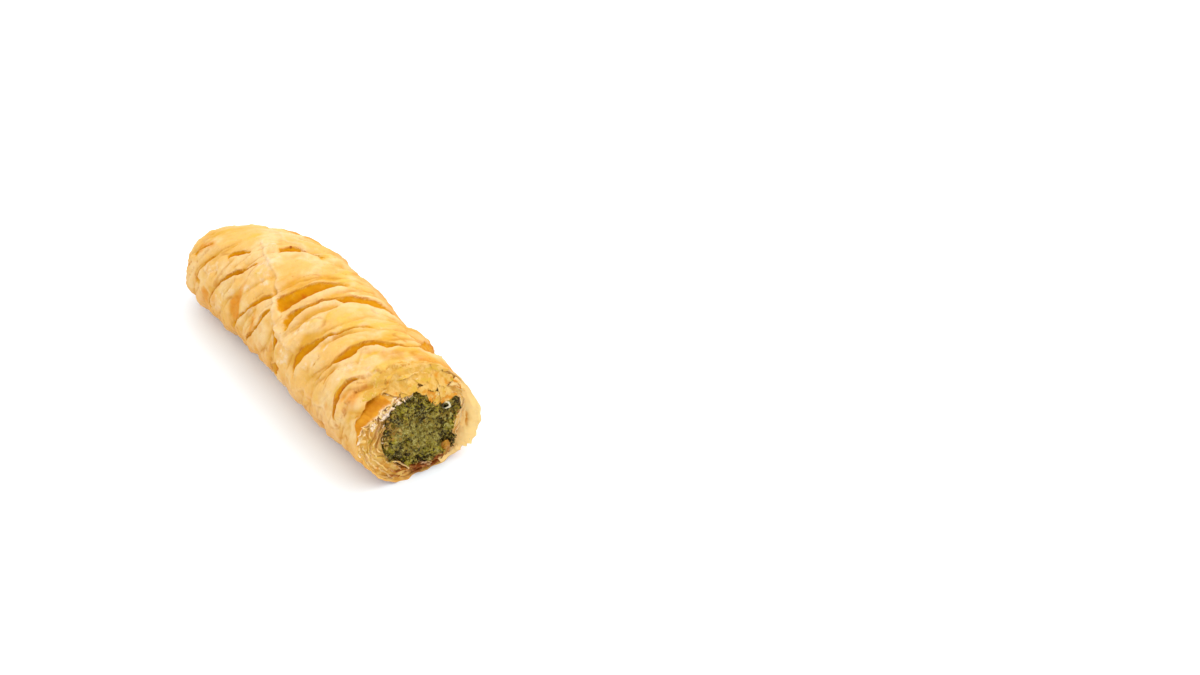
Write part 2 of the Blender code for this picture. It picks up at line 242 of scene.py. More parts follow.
def rim_distance(degrees):
    """Distance along the roll at which the skin meets the leaning cut."""
    rim = np.full(degrees.shape, CUT_AT_TABLE)
    for _ in range(3):
        point, _ = plain_roll(rim, degrees)
        rim = cut_distance(np.maximum(point[..., 2], 0.0))
    return rim


def to_frame(points):
    """From distances along the roll to the frame, kept inside the model's box."""
    placed = points + np.array([TIP, -SIDEWAYS, 0.0])
    return np.clip(placed, np.array(cad_low), np.array(cad_high))


print("distance to the cut on top, in mm:", round(float(rim_distance(np.zeros(1))[0]) / MM, 1))

# %% [markdown]
# ## Valleys between the pleats
# The sheets were gathered as they were rolled, so the skin lies in overlapping tucks like loose sleeves.
# Each valley is a line on the skin with a half width that grows and shrinks along it. Its far side slopes
# down gently into the oily, amber dough, whose amber is partly painted shade, and its near side is a thin
# lip, lightened with a painted highlight, that stands up steeply and leans over it. Signed distance to
# the line is all that is needed to shape both sides.

# %% The valleys: name, depth in mm, how each end fades, then points of distance, angle and half width
VALLEYS = (
    ("long_pocket", 3.2, (0.22, 0.05), (
        (71.2, -26, 0.8), (69.8, -12, 1.9), (68, 0, 2.8), (66.4, 15, 3.2), (64.6, 30, 3.2),
        (62.9, 44, 3.1),
    )),
    ("saddle", 2.8, (0.14, 0.12), (
        (89.5, -80, 0.5), (87, -62, 2.0), (85.5, -46, 2.8), (83.5, -35, 3.3), (81.5, -22, 2.8),
        (78.5, -8, 2.2), (76.2, 0, 1.1), (74.6, 10, 1.4), (73.2, 22, 1.1), (71.8, 32, 1.7),
        (70.8, 43, 2.1), (71, 52, 1.8), (71, 60, 0.8),
    )),
    ("middle", 2.7, (0.2, 0.1), (
        (98, -15, 0.5), (96, -8, 0.8), (94, 0, 0.6), (92.5, 10, 0.5), (91, 20, 0.6), (89.5, 27, 0.8),
        (88.2, 36, 1.3), (86.5, 47, 1.9), (85, 56, 2.6), (84.5, 65, 2.5), (85, 75, 1.7), (85.2, 84, 0.6),
    )),
    ("front", 3.0, (0.1, 0.16), (
        (102, -94, 0.5), (105, -74, 2.2), (108, -55, 4.0), (110.5, -42, 3.0), (110.7, -33, 1.2),
        (110, -22, 0.7), (108.5, -14, 0.9), (106.5, -5, 2.0), (104, 2, 1.8), (102.3, 10, 1.7),
        (101.3, 18, 2.0), (101.3, 26, 2.2), (100.5, 34, 1.6), (99.5, 42, 0.7), (98.2, 55, 0.5),
        (96.8, 65, 0.5), (95.5, 80, 0.4),
    )),
    ("spot", 2.4, (0.2, 0.1), (
        (53, -30, 0.9), (50.5, -20, 1.0), (47, -14, 1.5), (44.6, -9, 2.0), (43, -3, 2.1), (41.8, 6, 1.5),
    )),
    ("tuck_brow", 1.2, (0.15, 0.15), (
        (18, 30, 0.6), (15.5, 39, 0.9), (13, 46, 0.7), (11.5, 56, 1.3),
    )),
    ("tuck_cheek", 0.9, (0.15, 0.15), (
        (23, 38, 0.6), (20.5, 52, 0.8), (19, 64, 0.7), (18, 74, 0.9), (17.5, 86, 0.6),
    )),
    ("tuck_fold", 0.8, (0.15, 0.15), (
        (13.5, 60, 0.8), (11.5, 74, 0.9), (10, 92, 0.9),
    )),
    ("tuck_spot", 1.5, (0.15, 0.12), (
        (35, 21, 0.6), (31, 27, 1.2), (29.3, 32, 1.3), (28.3, 40, 0.7),
    )),
    ("long_crease", 2.3, (0.12, 0.12), (
        (42, 20, 0.5), (40, 36, 0.9), (37.5, 43, 1.3), (34.5, 52, 0.9), (32, 62, 0.7), (30.3, 72, 0.6),
        (28.5, 82, 0.8), (27, 95, 1.0), (25, 110, 1.4),
    )),
    ("left_gather", 1.9, (0.12, 0.12), (
        (58, 35, 0.5), (57, 40, 0.9), (54.5, 48, 1.3), (52.5, 56, 0.9), (51, 62, 0.6), (49.5, 70, 0.6),
        (47, 78, 0.8), (44.5, 88, 0.9), (41, 104, 1.2),
    )),
    ("left_crease", 1.8, (0.14, 0.14), (
        (62, 46, 0.6), (60.5, 54, 1.1), (59.5, 62, 1.2), (59, 70, 0.8), (57, 80, 0.6), (53, 94, 0.9),
        (50, 106, 0.9),
    )),
    ("pucker", 1.1, (0.15, 0.15), (
        (65.5, 59, 0.6), (68.3, 64, 0.9), (70, 68, 1.2), (70.5, 74, 1.0), (70, 83, 0.6),
    )),
    ("heel", 1.4, (0.25, 0.2), (
        (76, 84, 1.2), (71, 100, 2.2), (66, 120, 2.4),
    )),
    ("thin_line", 0.7, (0.25, 0.25), (
        (93.8, 44, 0.5), (93.3, 58, 0.5),
    )),
    ("second_line", 0.7, (0.25, 0.25), (
        (102, 40, 0.5), (101, 64, 0.5),
    )),
    ("spare_line", 0.6, (0.25, 0.25), (
        (78, 30, 0.5), (77.5, 48, 0.6),
    )),
    ("lip_crack", 1.0, (0.12, 0.2), (
        (113, 33, 0.5), (110.2, 44, 0.8), (109.6, 58, 1.0), (110.6, 66, 1.3), (112, 84, 0.9),
    )),
    ("back_fold_far", 2.0, (0.25, 0.15), (
        (58, -60, 0.6), (54, -84, 2.0), (48, -112, 0.6),
    )),
    ("back_fold_mid", 2.2, (0.15, 0.15), (
        (86, -76, 0.6), (82, -94, 2.2), (76, -118, 0.6),
    )),
    ("back_fold_near", 2.0, (0.2, 0.15), (
        (101, -92, 0.6), (97, -106, 2.0), (92, -126, 0.6),
    )),
)
# Soft hollows: name, depth, tint of painted amber shade, distance, angle, then how far they reach along
# and round the roll.
HOLLOWS = (
    ("left_hollow", 1.8, 0.05, 42.5, 76, 2.4, 5.0),
    ("left_dip", 0.6, 0.05, 54.5, 70, 1.8, 4.0),
    ("cheek_dip", 0.5, 0.05, 24.0, 90, 2.2, 4.0),
    ("tuck_amber", 0.4, 0.50, 13.5, 50, 1.6, 1.8),
    ("tuck_low_amber", 0.5, 0.50, 19.0, 79, 1.4, 2.0),
    ("heel_dip", 0.7, 0.16, 69.0, 76, 1.8, 2.6),
    ("rim_dip", 0.5, 0.05, 107.0, 76, 2.6, 2.6),
    ("spot_tail", 0.6, 0.45, 52.5, -22, 1.6, 1.6),
    ("crown_dip", 0.5, 0.10, 56.0, 16, 4.5, 4.0),
    ("shoulder_low", 0.4, 0.05, 28.0, -58, 4.0, 3.4),
    ("shoulder_high", 0.4, 0.05, 40.0, -42, 4.0, 3.0),
)
print("valleys:", len(VALLEYS), "hollows:", len(HOLLOWS))

# %% A valley's section: a ledge, a slope to the deepest place, a steep wall and a lip
LEDGE_SHARE = 0.34
LEDGE_BACK = 0.15 * MM
LEDGE_FRONT = 0.45 * MM
LEDGE_LINE = 0.85
DEEPEST_AT = 1.45
WALL_SHARE = 0.55
SHOULDER_SHARE = 0.30
SHOULDER_WIDTH = 3.2
FULL_DEPTH_WIDTH = 1.7 * MM
LIP_RISE = 0.75 * MM
LIP_LEAN = 0.75 * MM
AMBER_FROM_WIDTH = 0.8 * MM
OUTLINE_FROM_WIDTH = 0.7 * MM
OUTLINE_WIDTH = 0.35 * MM
OUTLINE_OF_LIP, OUTLINE_OF_LEDGE = 0.25 * MM, 0.1 * MM
print("deepest valley in mm:", max(depth for _, depth, _, _ in VALLEYS))


# %% Signed distance to a line on the skin
def line_points(points):
    """The line in metres along the roll and metres of arc round it, with the third value in metres."""
    return np.array([(p[0] * MM, p[1] * ARC_PER_DEGREE, (p[2] if len(p) > 2 else 0.0) * MM) for p in points])


def nearest_on_line(points, along, arc):
    """Signed distance to a line of (along, arc) points, share of its length, and values carried on it."""
    best = np.full(along.shape, np.inf)
    signed, share, carried = np.zeros(along.shape), np.zeros(along.shape), np.zeros(along.shape)
    steps = np.linalg.norm(np.diff(points[:, :2], axis=0), axis=1)
    starts = np.concatenate([[0.0], np.cumsum(steps)])
    for k, step in enumerate(steps):
        run = (points[k + 1, :2] - points[k, :2]) / step
        off_s = along - points[k, 0]
        off_a = arc - points[k, 1]
        t = np.clip(off_s * run[0] + off_a * run[1], 0.0, step)
        gap_s = off_s - t * run[0]
        gap_a = off_a - t * run[1]
        distance = np.hypot(gap_s, gap_a)
        side = np.sign(run[0] * gap_a - run[1] * gap_s)
        nearer = distance < best
        best = np.where(nearer, distance, best)
        signed = np.where(nearer, side * distance, signed)
        share = np.where(nearer, (starts[k] + t) / starts[-1], share)
        mixed = points[k, 2] + (points[k + 1, 2] - points[k, 2]) * t / step
        carried = np.where(nearer, mixed, carried)
    return signed, share, carried


beside_pocket, _, _ = nearest_on_line(line_points(VALLEYS[0][3]), np.array([72.0 * MM]), np.array([0.0]))
print("a place 72 mm along is this far from the long pocket, in mm:", round(float(beside_pocket[0]) / MM, 1))


# %% Add up the valleys
def valleys(along, arc):
    """Height, lean and colour masks that the valleys give the skin: the amber floor, partly oil and partly
    painted shade, the brown outline of painted shade, and the lip for its painted highlight.
    """
    height, lean, margin = np.zeros(along.shape), np.zeros(along.shape), np.zeros(along.shape)
    amber, lip_highlights = np.zeros(along.shape), np.zeros(along.shape)
    for _, depth, (start_fade, end_fade), points in VALLEYS:
        signed, share, half = nearest_on_line(line_points(points), along, arc)
        ends = smooth_step(share, 0.0, start_fade) * smooth_step(1.0 - share, 0.0, end_fade)
        strength = ends * np.clip(half / FULL_DEPTH_WIDTH, 0.0, 1.0) ** 0.8
        from_ledge = half - signed
        from_lip = half + signed
        ledge = smooth_step(from_ledge, -LEDGE_BACK, LEDGE_FRONT)
        slope = smooth_step(from_ledge / half, 0.0, DEEPEST_AT)
        wall = smooth_step(from_lip, -LEDGE_BACK, WALL_SHARE * half)
        floor = (LEDGE_SHARE * ledge + (1.0 - LEDGE_SHARE) * slope) * wall
        shoulder = np.exp(-((signed / (SHOULDER_WIDTH * half + 1.0 * MM)) ** 2))
        lip = bump(from_lip, -0.35 * half - 0.2 * MM, 0.7 * half + 0.2 * MM) * strength
        height -= depth * MM * strength * ((1.0 - SHOULDER_SHARE) * floor + SHOULDER_SHARE * shoulder)
        height += LIP_RISE * lip
        lean = np.maximum(lean, LIP_LEAN * lip)
        seen = ledge * smooth_step(from_lip, -LEDGE_BACK, LEDGE_FRONT)
        tint = (0.50 + 0.50 * smooth_step(from_ledge / half, 0.2, 1.7)) * seen
        # The amber floor is partly the oil and partly painted shade, darker towards the lip.
        amber = np.maximum(amber, tint * ends * np.clip(half / AMBER_FROM_WIDTH, 0.0, 1.0))
        # The outline is painted shade along the ledge and under the leaning lip.
        line = bump(from_lip, OUTLINE_OF_LIP, OUTLINE_WIDTH)
        line = line + LEDGE_LINE * bump(from_ledge, OUTLINE_OF_LEDGE, OUTLINE_WIDTH)
        margin = np.maximum(margin, line * ends * np.clip(half / OUTLINE_FROM_WIDTH, 0.0, 1.0))
        # The lip mask is for the lip's painted highlight.
        lip_highlights = np.maximum(lip_highlights, lip)
    for _, depth, tint, distance, angle, reach, reach_round in HOLLOWS:
        away = np.hypot((along - distance * MM) / reach, (arc - angle * ARC_PER_DEGREE) / reach_round) / MM
        height -= depth * MM * np.exp(-(away**2))
        # Hollows add painted amber shade by their tint.
        amber = np.maximum(amber, tint * np.exp(-(away**2)))
    return height, lean, amber, margin, lip_highlights


sample_height = valleys(np.array([68.0 * MM]), np.array([0.0]))[0]
print("height in the long pocket, in mm:", round(float(sample_height[0]) / MM, 2))

# %% [markdown]
# ## Edges of sheets
# Where one sheet of filo ends on another there is a tiny cliff, less than a millimetre high and ragged,
# as dry filo tears. A smooth step across the line gives the cliff, and noise on the distance frays it.
# Two such cliffs lie just behind the cut, where the knife dragged the outer sheets back. A brown line at
# the cliff's foot is partly browning and partly painted shadow, and soft edges get a painted highlight.

# %% The sheet edges: name, step, browning with painted shadow, reach of raised side, points of distance and angle
SHEET_EDGES = (
    ("overlap", 0.6, 0.1, 6.0, (
        (28, 4), (36, 12), (43, 20), (51, 23), (57, 34), (61, 44), (66, 57), (72, 64), (84, 62),
    )),
    ("rim_upper", 0.9, 0.8, 6.0, (
        (114, 96), (111.5, 80), (110, 62), (110, 44), (113, 32), (116, 14), (118, -4), (117, -18),
    )),
    ("rim_lower", 0.8, 0.8, 4.0, (
        (116, 80), (114.3, 64), (114.6, 46), (116.2, 30), (118.6, 18), (121, 6), (122.5, -14),
    )),
    ("top_scrap", 0.35, 0.2, 3.0, (
        (104, -6), (106, 4), (105, 16), (107.5, 28), (106, 38),
    )),
    ("side_scrap", 0.35, 0.3, 4.0, (
        (20, 60), (24, 66), (23, 78), (27, 88),
    )),
    ("low_scrap", 0.4, 0.3, 4.0, (
        (88, 92), (92, 84), (98, 88), (104, 82), (110, 92),
    )),
    ("far_scrap", 0.35, 0.1, 4.0, (
        (22, -10), (30, -16), (36, -8), (44, -16), (52, -8),
    )),
)
EDGE_SHARPNESS = 0.22 * MM
EDGE_FADE = 0.14
FRAY_COARSE = 0.9 * MM
FRAY_FINE = 0.35 * MM
print("sheet edges:", len(SHEET_EDGES))


# %% Raise the edges
def sheet_edges(along, arc, fray):
    """Height that the ends of sheets give the skin, and masks of torn rims, browned with painted shadow at
    their foot, and of the pale, soft ones with a painted highlight.
    """
    height, torn, seam = np.zeros(along.shape), np.zeros(along.shape), np.zeros(along.shape)
    for _, step, browning_and_shadow, reach, points in SHEET_EDGES:
        signed, share, _ = nearest_on_line(line_points(points), along, arc)
        ends = smooth_step(share, 0.0, EDGE_FADE) * smooth_step(1.0 - share, 0.0, EDGE_FADE)
        inside = -signed + fray
        raised = smooth_step(inside, -EDGE_SHARPNESS, EDGE_SHARPNESS)
        height += step * MM * raised * np.exp(-np.maximum(inside, 0.0) / (reach * MM)) * ends
        # Browning and painted shadow at the foot of the cliff.
        torn = np.maximum(torn, browning_and_shadow * bump(inside, -0.15 * MM, 0.45 * MM) * ends)
        # Painted highlight: a pale line just inside the raised side of the soft edges.
        seam = np.maximum(seam, (0.9 - browning_and_shadow) * bump(inside, 0.6 * MM, 0.7 * MM) * ends)
    return height, torn, np.clip(seam, 0.0, 1.0)


# %% [markdown]
# ## Wrinkles, puffs and blisters
# Between the big valleys the top sheet is never flat. It puffs like a pillow, it carries creases as fine
# as a hair that run the same way as the pleats, and the heat raised small blisters. Noise that is
# stretched round the roll gives the pleats. A line where such noise crosses zero gives a crease, which
# looks sharper than any bump, and the colour is darkened there as painted shade. In a few places the
# sheet lies smooth, so the relief fades out there.

# %% The fine relief
PLEAT_TILT = 0.128 * MM
# Broad swells: name, height in mm, distance, angle and reach in mm.
SWELLS = (
    ("far_shoulder", 1.3, 27, -82, 9.0),
    ("before_saddle", 0.9, 75, -54, 7.0),
    ("before_front", 0.8, 104, -54, 6.0),
    ("behind_pocket", -0.9, 61, -56, 6.0),
    ("after_saddle", -0.9, 91, -56, 5.0),
)
PUFF_HEIGHT = 0.45 * MM
PUFF_STARTS = (16.0 * MM, 34.0 * MM)
PUFF_ENDS = (104.0 * MM, 118.0 * MM)
# Pleats, finer pleats and grain: size along the roll, share of it round the roll, height and seed.
PLEATS = (
    (9.0 * MM, 0.16, 1.05 * MM, 3.1),
    (4.6 * MM, 0.26, 0.60 * MM, 8.7),
    (2.3 * MM, 0.40, 0.28 * MM, 15.2),
    (1.1 * MM, 0.60, 0.12 * MM, 27.6),
)
DENTS = (
    (3.4 * MM, 0.42 * MM, 91.3),
    (1.5 * MM, 0.16 * MM, 95.8),
)
FOLD_SHARPNESS = 0.75
# Where the sheet lies smooth: distance, angle, reach along and round in millimetres, and how much is left
# out.
SMOOTH_PLACES = (
    (22, -4, 15, 10, 0.8),
    (52, 4, 6, 8, 0.7),
    (47, 66, 4, 5, 0.5),
    (34, 84, 3, 5, 0.5),
    (93, -8, 6, 8, 0.4),
    (106, 50, 6, 6, 0.4),
)
BLISTER_SIZE = 2.3 * MM
BLISTER_HEIGHT = 0.22 * MM
RELIEF_ENDS = 128.0
RELIEF_GONE = 150.0
WANDER_SIZE = 9.0 * MM
WANDER_REACH = 1.8 * MM
CREASE_WIDTH = 0.06
CREASES_FROM, CREASES_FULL = -75.0 * ARC_PER_DEGREE, -35.0 * ARC_PER_DEGREE
CREASES_START, CREASES_DEEP = 5.0 * MM, 14.0 * MM
print("pleat sizes in mm:", [round(pleat[0] / MM, 1) for pleat in PLEATS])


# %% Wrinkles, dents and blisters as heights
def fine_relief(along, arc):
    """Wrinkles and blisters of the top sheet: height, and a mask of the creases for their painted shade."""
    across = along + PLEAT_TILT / ARC_PER_DEGREE * arc
    wander = ripple(np.stack([along, arc, 0.0 * along], axis=-1), WANDER_SIZE, 40.5)
    height, creased = np.zeros(along.shape), np.zeros(along.shape)
    for size, stretch, rise, seed in PLEATS:
        pleated = np.stack([across + WANDER_REACH * wander, arc * stretch, 0.0 * arc], axis=-1)
        waves = ripple(pleated, size, seed)
        height += rise * (np.abs(2.0 * waves) ** FOLD_SHARPNESS - 0.5)
        creased = np.maximum(creased, bump(waves, 0.0, CREASE_WIDTH) * min(1.0, rise / (0.5 * MM)))
    place = np.stack([along, arc * 0.7, 0.0 * arc], axis=-1)
    for size, rise, seed in DENTS:
        height += rise * ripple(place, size, seed)
    bubbles = ripple(place, BLISTER_SIZE, 55.3)
    height += BLISTER_HEIGHT * smooth_step(bubbles, 0.22, 0.55)
    left = np.ones(along.shape)
    for distance, angle, reach, reach_round, share in SMOOTH_PLACES:
        away = np.hypot((along - distance * MM) / reach, (arc - angle * ARC_PER_DEGREE) / reach_round) / MM
        left *= 1.0 - share * np.exp(-(away**4))
    shown = smooth_step(arc, CREASES_FROM, CREASES_FULL) * smooth_step(along, CREASES_START, CREASES_DEEP)
    return height * left, creased * left * shown


relief_height, _ = fine_relief(np.array([60.0 * MM]), np.zeros(1))
print("fine relief 60 mm along the top, in mm:", round(float(relief_height[0]) / MM, 2))

# %% [markdown]
# ## Patches of colour, and the whole skin
# Filo browns unevenly: some tucks stay yellow with oil, some dry to a pale pink, and the sides turn
# orange. The pale patches also carry painted highlights, and the orange ones, many of which lie in the
# hollows, also carry painted shade. Noise alone would put these anywhere, so soft round patches say where
# each tone belongs, and noise only frays them. The skin's function then adds up the valleys, the edges and
# the relief. Just behind the cut the knife pressed the top down, so it drops there, and on the right a
# flap of sheets reaches past the cut.

# %% Patches by kind: distance, angle, reach along and round in millimetres, strength
SKIN_PATCHES = {
    "yellow": (
        (14, 16, 5, 5, 0.6), (24, 4, 5, 4, 0.9), (25, 36, 3, 2, 0.7), (33, -14, 4, 3, 0.8),
        (36, 62, 2, 4, 0.5), (52, -24, 4, 3, 0.9), (53, 78, 3, 4, 0.8), (67, -22, 3, 4, 0.8),
        (84, -12, 3, 3, 0.5), (90, 10, 5, 4, 0.9), (95, -28, 4, 5, 0.8), (97, -18, 4, 4, 0.8),
        (100, 14, 3, 4, 0.9), (104, -12, 5, 4, 0.9), (106, -24, 5, 5, 0.8), (108, 20, 5, 5, 0.9),
        (112, -12, 8, 8, 1.2), (112, 4, 8, 9, 1.0), (114, 2, 5, 5, 0.9), (114, 44, 5, 6, 1.0),
        (118, -30, 5, 5, 0.7), (120, 24, 5, 6, 1.0),
    ),
    "pale": (
        (26, 58, 5, 4, 0.8), (34, 82, 3, 5, 0.6), (36, 8, 4, 3, 0.6), (40, 66, 3, 4, 0.8),
        (44, 52, 4, 4, 0.9), (46, 24, 4, 4, 1.0), (50, 36, 3, 2, 1.0), (52, 66, 4, 3, 1.0),
        (60, 30, 2, 3, 0.6), (67, 60, 3, 2, 0.9), (76, 74, 4, 6, 0.9), (78, 10, 3, 5, 0.8),
        (78, 36, 3, 6, 0.9), (88, -28, 3, 4, 0.5), (91, 32, 3, 5, 1.0), (92, 60, 4, 6, 0.7),
        (106, 34, 3, 6, 0.8), (112, 24, 3, 3, 0.7),
    ),
    "orange": (
        (11, 74, 3, 4, 1.0), (14, 42, 3, 3, 1.4), (16, 38, 3, 2, 0.9), (17, 34, 3, 2, 1.1),
        (18, 74, 3, 6, 0.8), (24, 90, 3, 4, 1.1), (27, -44, 4, 4, 1.6), (27, 90, 4, 4, 0.9),
        (35, -43, 4, 4, 1.6), (40, 84, 2, 5, 0.7), (42, 76, 3.2, 7, 1.8), (43, -46, 4, 3.5, 1.4),
        (54.5, 70, 2, 4, 1.1), (55, 14, 5, 5, 0.3), (59, -30, 4, 4, 0.7), (62, -42, 3, 3, 1.0),
        (62, 76, 2, 6, 0.6), (64, -44, 2, 4, 1.0), (69, 76, 2, 3, 1.2), (72, -58, 8, 5, 0.8),
        (95, 80, 2, 5, 0.5), (100, -40, 5, 5, 0.6), (106, -44, 4, 5, 0.9), (107, 76, 3, 3, 1.1),
        (107, 82, 4, 5, 0.8), (110, -60, 5, 4, 0.8), (112, 62, 2, 4, 0.9), (116, 50, 3.5, 5, 1.0),
        (117, -30, 4, 5, 0.8), (119, 0, 3, 6, 0.7), (119, 30, 3, 5, 0.7), (121, -64, 4, 4, 1.0),
    ),
    "burn": (
        (41.8, -8, 0.65, 0.5, 0.9), (44, -47, 3.0, 0.8, 0.5), (110, -50, 3.0, 0.7, 0.5),
    ),
}


def patch_mask(kind, along, arc):
    """How much a place on the skin belongs to the patches of this kind, from 0 to 1."""
    total = np.zeros(along.shape)
    for distance, angle, reach, reach_round, strength in SKIN_PATCHES[kind]:
        away = np.hypot((along - distance * MM) / reach, (arc - angle * ARC_PER_DEGREE) / reach_round) / MM
        total = np.maximum(total, strength * np.exp(-(away**2)))
    return total


print("patches:", {kind: len(patches) for kind, patches in SKIN_PATCHES.items()})

# %% The knife's drag and the right-hand flap
PRESSED_DROP = 3.4 * MM
PRESSED_RUN = 15.0 * MM
PRESSED_MIDDLE = 22.0
PRESSED_SPAN = 56.0
FLAP_REACH = 4.5 * MM
FLAP_MIDDLE = -108.0
FLAP_SPAN = 44.0
JITTER_SIZE, RAGGED_SIZE = 3.4 * MM, 1.3 * MM
CALM_FROM, CALM_TO = 50.0, 64.0
print("the flap reaches this far past the cut, in mm:", FLAP_REACH / MM)


# %% The skin's points and masks
def skin(along, degrees):
    """Points of the baked skin, and the masks that its colours need."""
    arc = degrees * ARC_PER_DEGREE
    place = np.stack([along, arc, 0.0 * arc], axis=-1)
    jitter = ripple(place, JITTER_SIZE, 61.7)
    ragged = ripple(place, RAGGED_SIZE, 71.9) * (1.0 - 0.8 * smooth_step(-degrees, CALM_FROM, CALM_TO))
    fray = FRAY_COARSE * jitter + FRAY_FINE * ragged
    height, lean, amber, margin, lip_highlights = valleys(along + 0.5 * MM * jitter, arc + 0.4 * MM * ragged)
    edges, torn, seam = sheet_edges(along, arc, fray)
    wrinkles, creased = fine_relief(along, arc)
    puffed = smooth_step(along, *PUFF_STARTS) * (1.0 - smooth_step(along, *PUFF_ENDS))
    height = height + edges + wrinkles * (1.0 - 0.6 * amber) + PUFF_HEIGHT * (puffed - 0.6)
    for _, swell, distance, angle, reach in SWELLS:
        away = np.hypot(along - distance * MM, arc - angle * ARC_PER_DEGREE)
        height += swell * MM * np.exp(-((away / (reach * MM)) ** 2))
    shown = 1.0 - smooth_step(np.abs(degrees), RELIEF_ENDS, RELIEF_GONE)
    at_tip = smooth_step(along, 0.0, 8.0 * MM)
    point, out = plain_roll(along, degrees)
    point = point + out * (height * shown * (0.25 + 0.75 * at_tip))[..., None]
    point[..., 0] -= lean * shown
    cut = cut_distance(point[..., 2])
    drop = PRESSED_DROP * smooth_step(along, cut - PRESSED_RUN, cut)
    drop = drop * angle_window(degrees, PRESSED_MIDDLE, PRESSED_SPAN)
    point[..., 2] = np.maximum(point[..., 2] - drop, 0.0)
    masks = {"amber": amber, "margin": margin, "lip": lip_highlights, "torn": torn, "seam": seam,
             "crease": creased, "rise": height}
    for kind in SKIN_PATCHES:
        masks[kind] = patch_mask(kind, along, arc)
    return point, {name: values * shown for name, values in masks.items()}


crest, _ = skin(np.array([60.0 * MM]), np.zeros(1))
print("height of the skin 60 mm along the top, in mm:", round(float(crest[0, 2]) / MM, 1))

# %% [markdown]
# ## The bore and its wall
# Seen at the cut, the pastry is a thick wall of sheets round the filling. The bore's outline is measured
# from a middle point, as in the solid model. A place on the cut is then an angle and a share of the way
# from the rim to the bore.

# %% The bore
BORE_MIDDLE = (1.5 * MM, 16.1 * MM)
BORE_OUTLINE_MM = (
    (0, 13.2), (22, 12.9), (38, 13.6), (60, 13.0), (85, 13.3), (112, 13.4), (135, 13.2), (160, 13.6),
    (180, 14.0), (-155, 14.0), (-132, 14.4), (-110, 13.2), (-92, 13.6), (-73, 16.6), (-54, 12.6),
    (-25, 12.8),
)
GAP = 0.3 * MM
BORE_STATIONS = (1.0, 0.94, 0.84, 0.70, 0.55, 0.40, 0.28, 0.20)
BORE_CLOSED = 13.0 * MM
BORE_ROUNDED_OVER = 36.0 * MM
BORE_INNER_SCALE = 0.90
# Where the filling's edge shows at the cut: angle and radius from the same middle.
SHOWN_OUTLINE_MM = (
    (-180, 12.3), (-163.5, 13.0), (-139.8, 14.6), (-125.8, 15.0), (-114.9, 12.9), (-97.1, 12.4),
    (-83.4, 14.8), (-73.0, 16.6), (-62.0, 13.6), (-54.0, 10.6), (-37.0, 9.1), (-27.0, 9.0),
    (-19.2, 10.3), (-7.0, 12.3), (10.2, 13.5), (23.4, 13.7), (49.8, 15.0), (65.1, 13.7), (84.8, 13.3),
    (104.1, 13.5), (120.5, 13.7), (134.6, 11.6), (155.0, 11.8), (173.8, 12.1), (180, 12.3),
)
print("bore closes this far from the tip, in mm:", round(BORE_CLOSED / MM, 1))


# %% The bore's and the filling's outlines
def shown_radius(degrees):
    """Distance from the bore's middle to the filling's edge that shows, past which only pastry does."""
    table = np.array(SHOWN_OUTLINE_MM)
    return np.interp(degrees, table[:, 0], table[:, 1]) * MM


def bore_radius(degrees):
    """Distance from the bore's middle to its wall, at angles on the cut."""
    table = np.array(sorted(BORE_OUTLINE_MM))
    angles = np.concatenate([table[:, 0] - 360.0, table[:, 0], table[:, 0] + 360.0])
    return hermite(angles, np.tile(table[:, 1], 3) * MM, degrees)


def bore_point(along, degrees, scale, clearance):
    """Points on the bore, whose middle wanders sideways as the roll does."""
    _, shift, _ = section_at(along)
    _, cut_shift, _ = section_at(np.full(degrees.shape, CUT_AT_TABLE))
    radius = bore_radius(degrees) * scale + clearance
    angle = np.radians(degrees)
    y = BORE_MIDDLE[0] + shift - cut_shift - radius * np.sin(angle)
    z = BORE_MIDDLE[1] + radius * np.cos(angle)
    return np.stack([along, y, z], axis=-1)


def bore_ring(station, degrees, clearance):
    """One ring of the bore: on the cut where the station is 1, then deeper and closing in at the tuck."""
    mouth = bore_point(np.full(degrees.shape, CUT_AT_TABLE), degrees, 1.0, clearance)
    mouth[..., 0] = cut_distance(mouth[..., 2])
    if station == 1.0:
        return mouth
    along = np.full(degrees.shape, station * CUT_AT_TABLE)
    narrowing = 1.0 - (1.0 - BORE_INNER_SCALE) * smooth_step(-along, -CUT_AT_TABLE, -BORE_ROUNDED_OVER)
    closing = np.clip((along - BORE_CLOSED) / BORE_ROUNDED_OVER, 0.0, 1.0)
    rounded = np.sqrt(1.0 - (1.0 - closing) ** 2)
    return bore_point(along, degrees, narrowing * rounded, clearance)


def bore_tip(clearance):
    """The point at which the bore closes, near the tuck."""
    return bore_point(np.array([BORE_CLOSED - clearance]), np.zeros(1), 0.0, 0.0)[0]


filling_width = shown_radius(np.array([90.0, -90.0])).sum()
print("width of the filling that shows, in mm:", round(float(filling_width) / MM, 1))

# %% [markdown]
# ## How the knife left the wall
# A knife doesn't leave filo flat. On top the outer sheets broke back and lie in steps down to the
# filling, on the left a deep gap opened behind the outer lip, and on the right a few sheets stand out
# past the cut as a flap. One function says how far each place on the wall stands proud of the knife's
# plane or behind it. The skin, the wall and the loose sheets all use it, so they agree.

# %% How far the wall stands out
FLAP_INNER_EDGE = (0.14, 0.34)
FLAP_NOTCH = 1.5 * MM
FLAP_STEPS = 5.0 * MM
RIM_RAGGED = 1.2 * MM
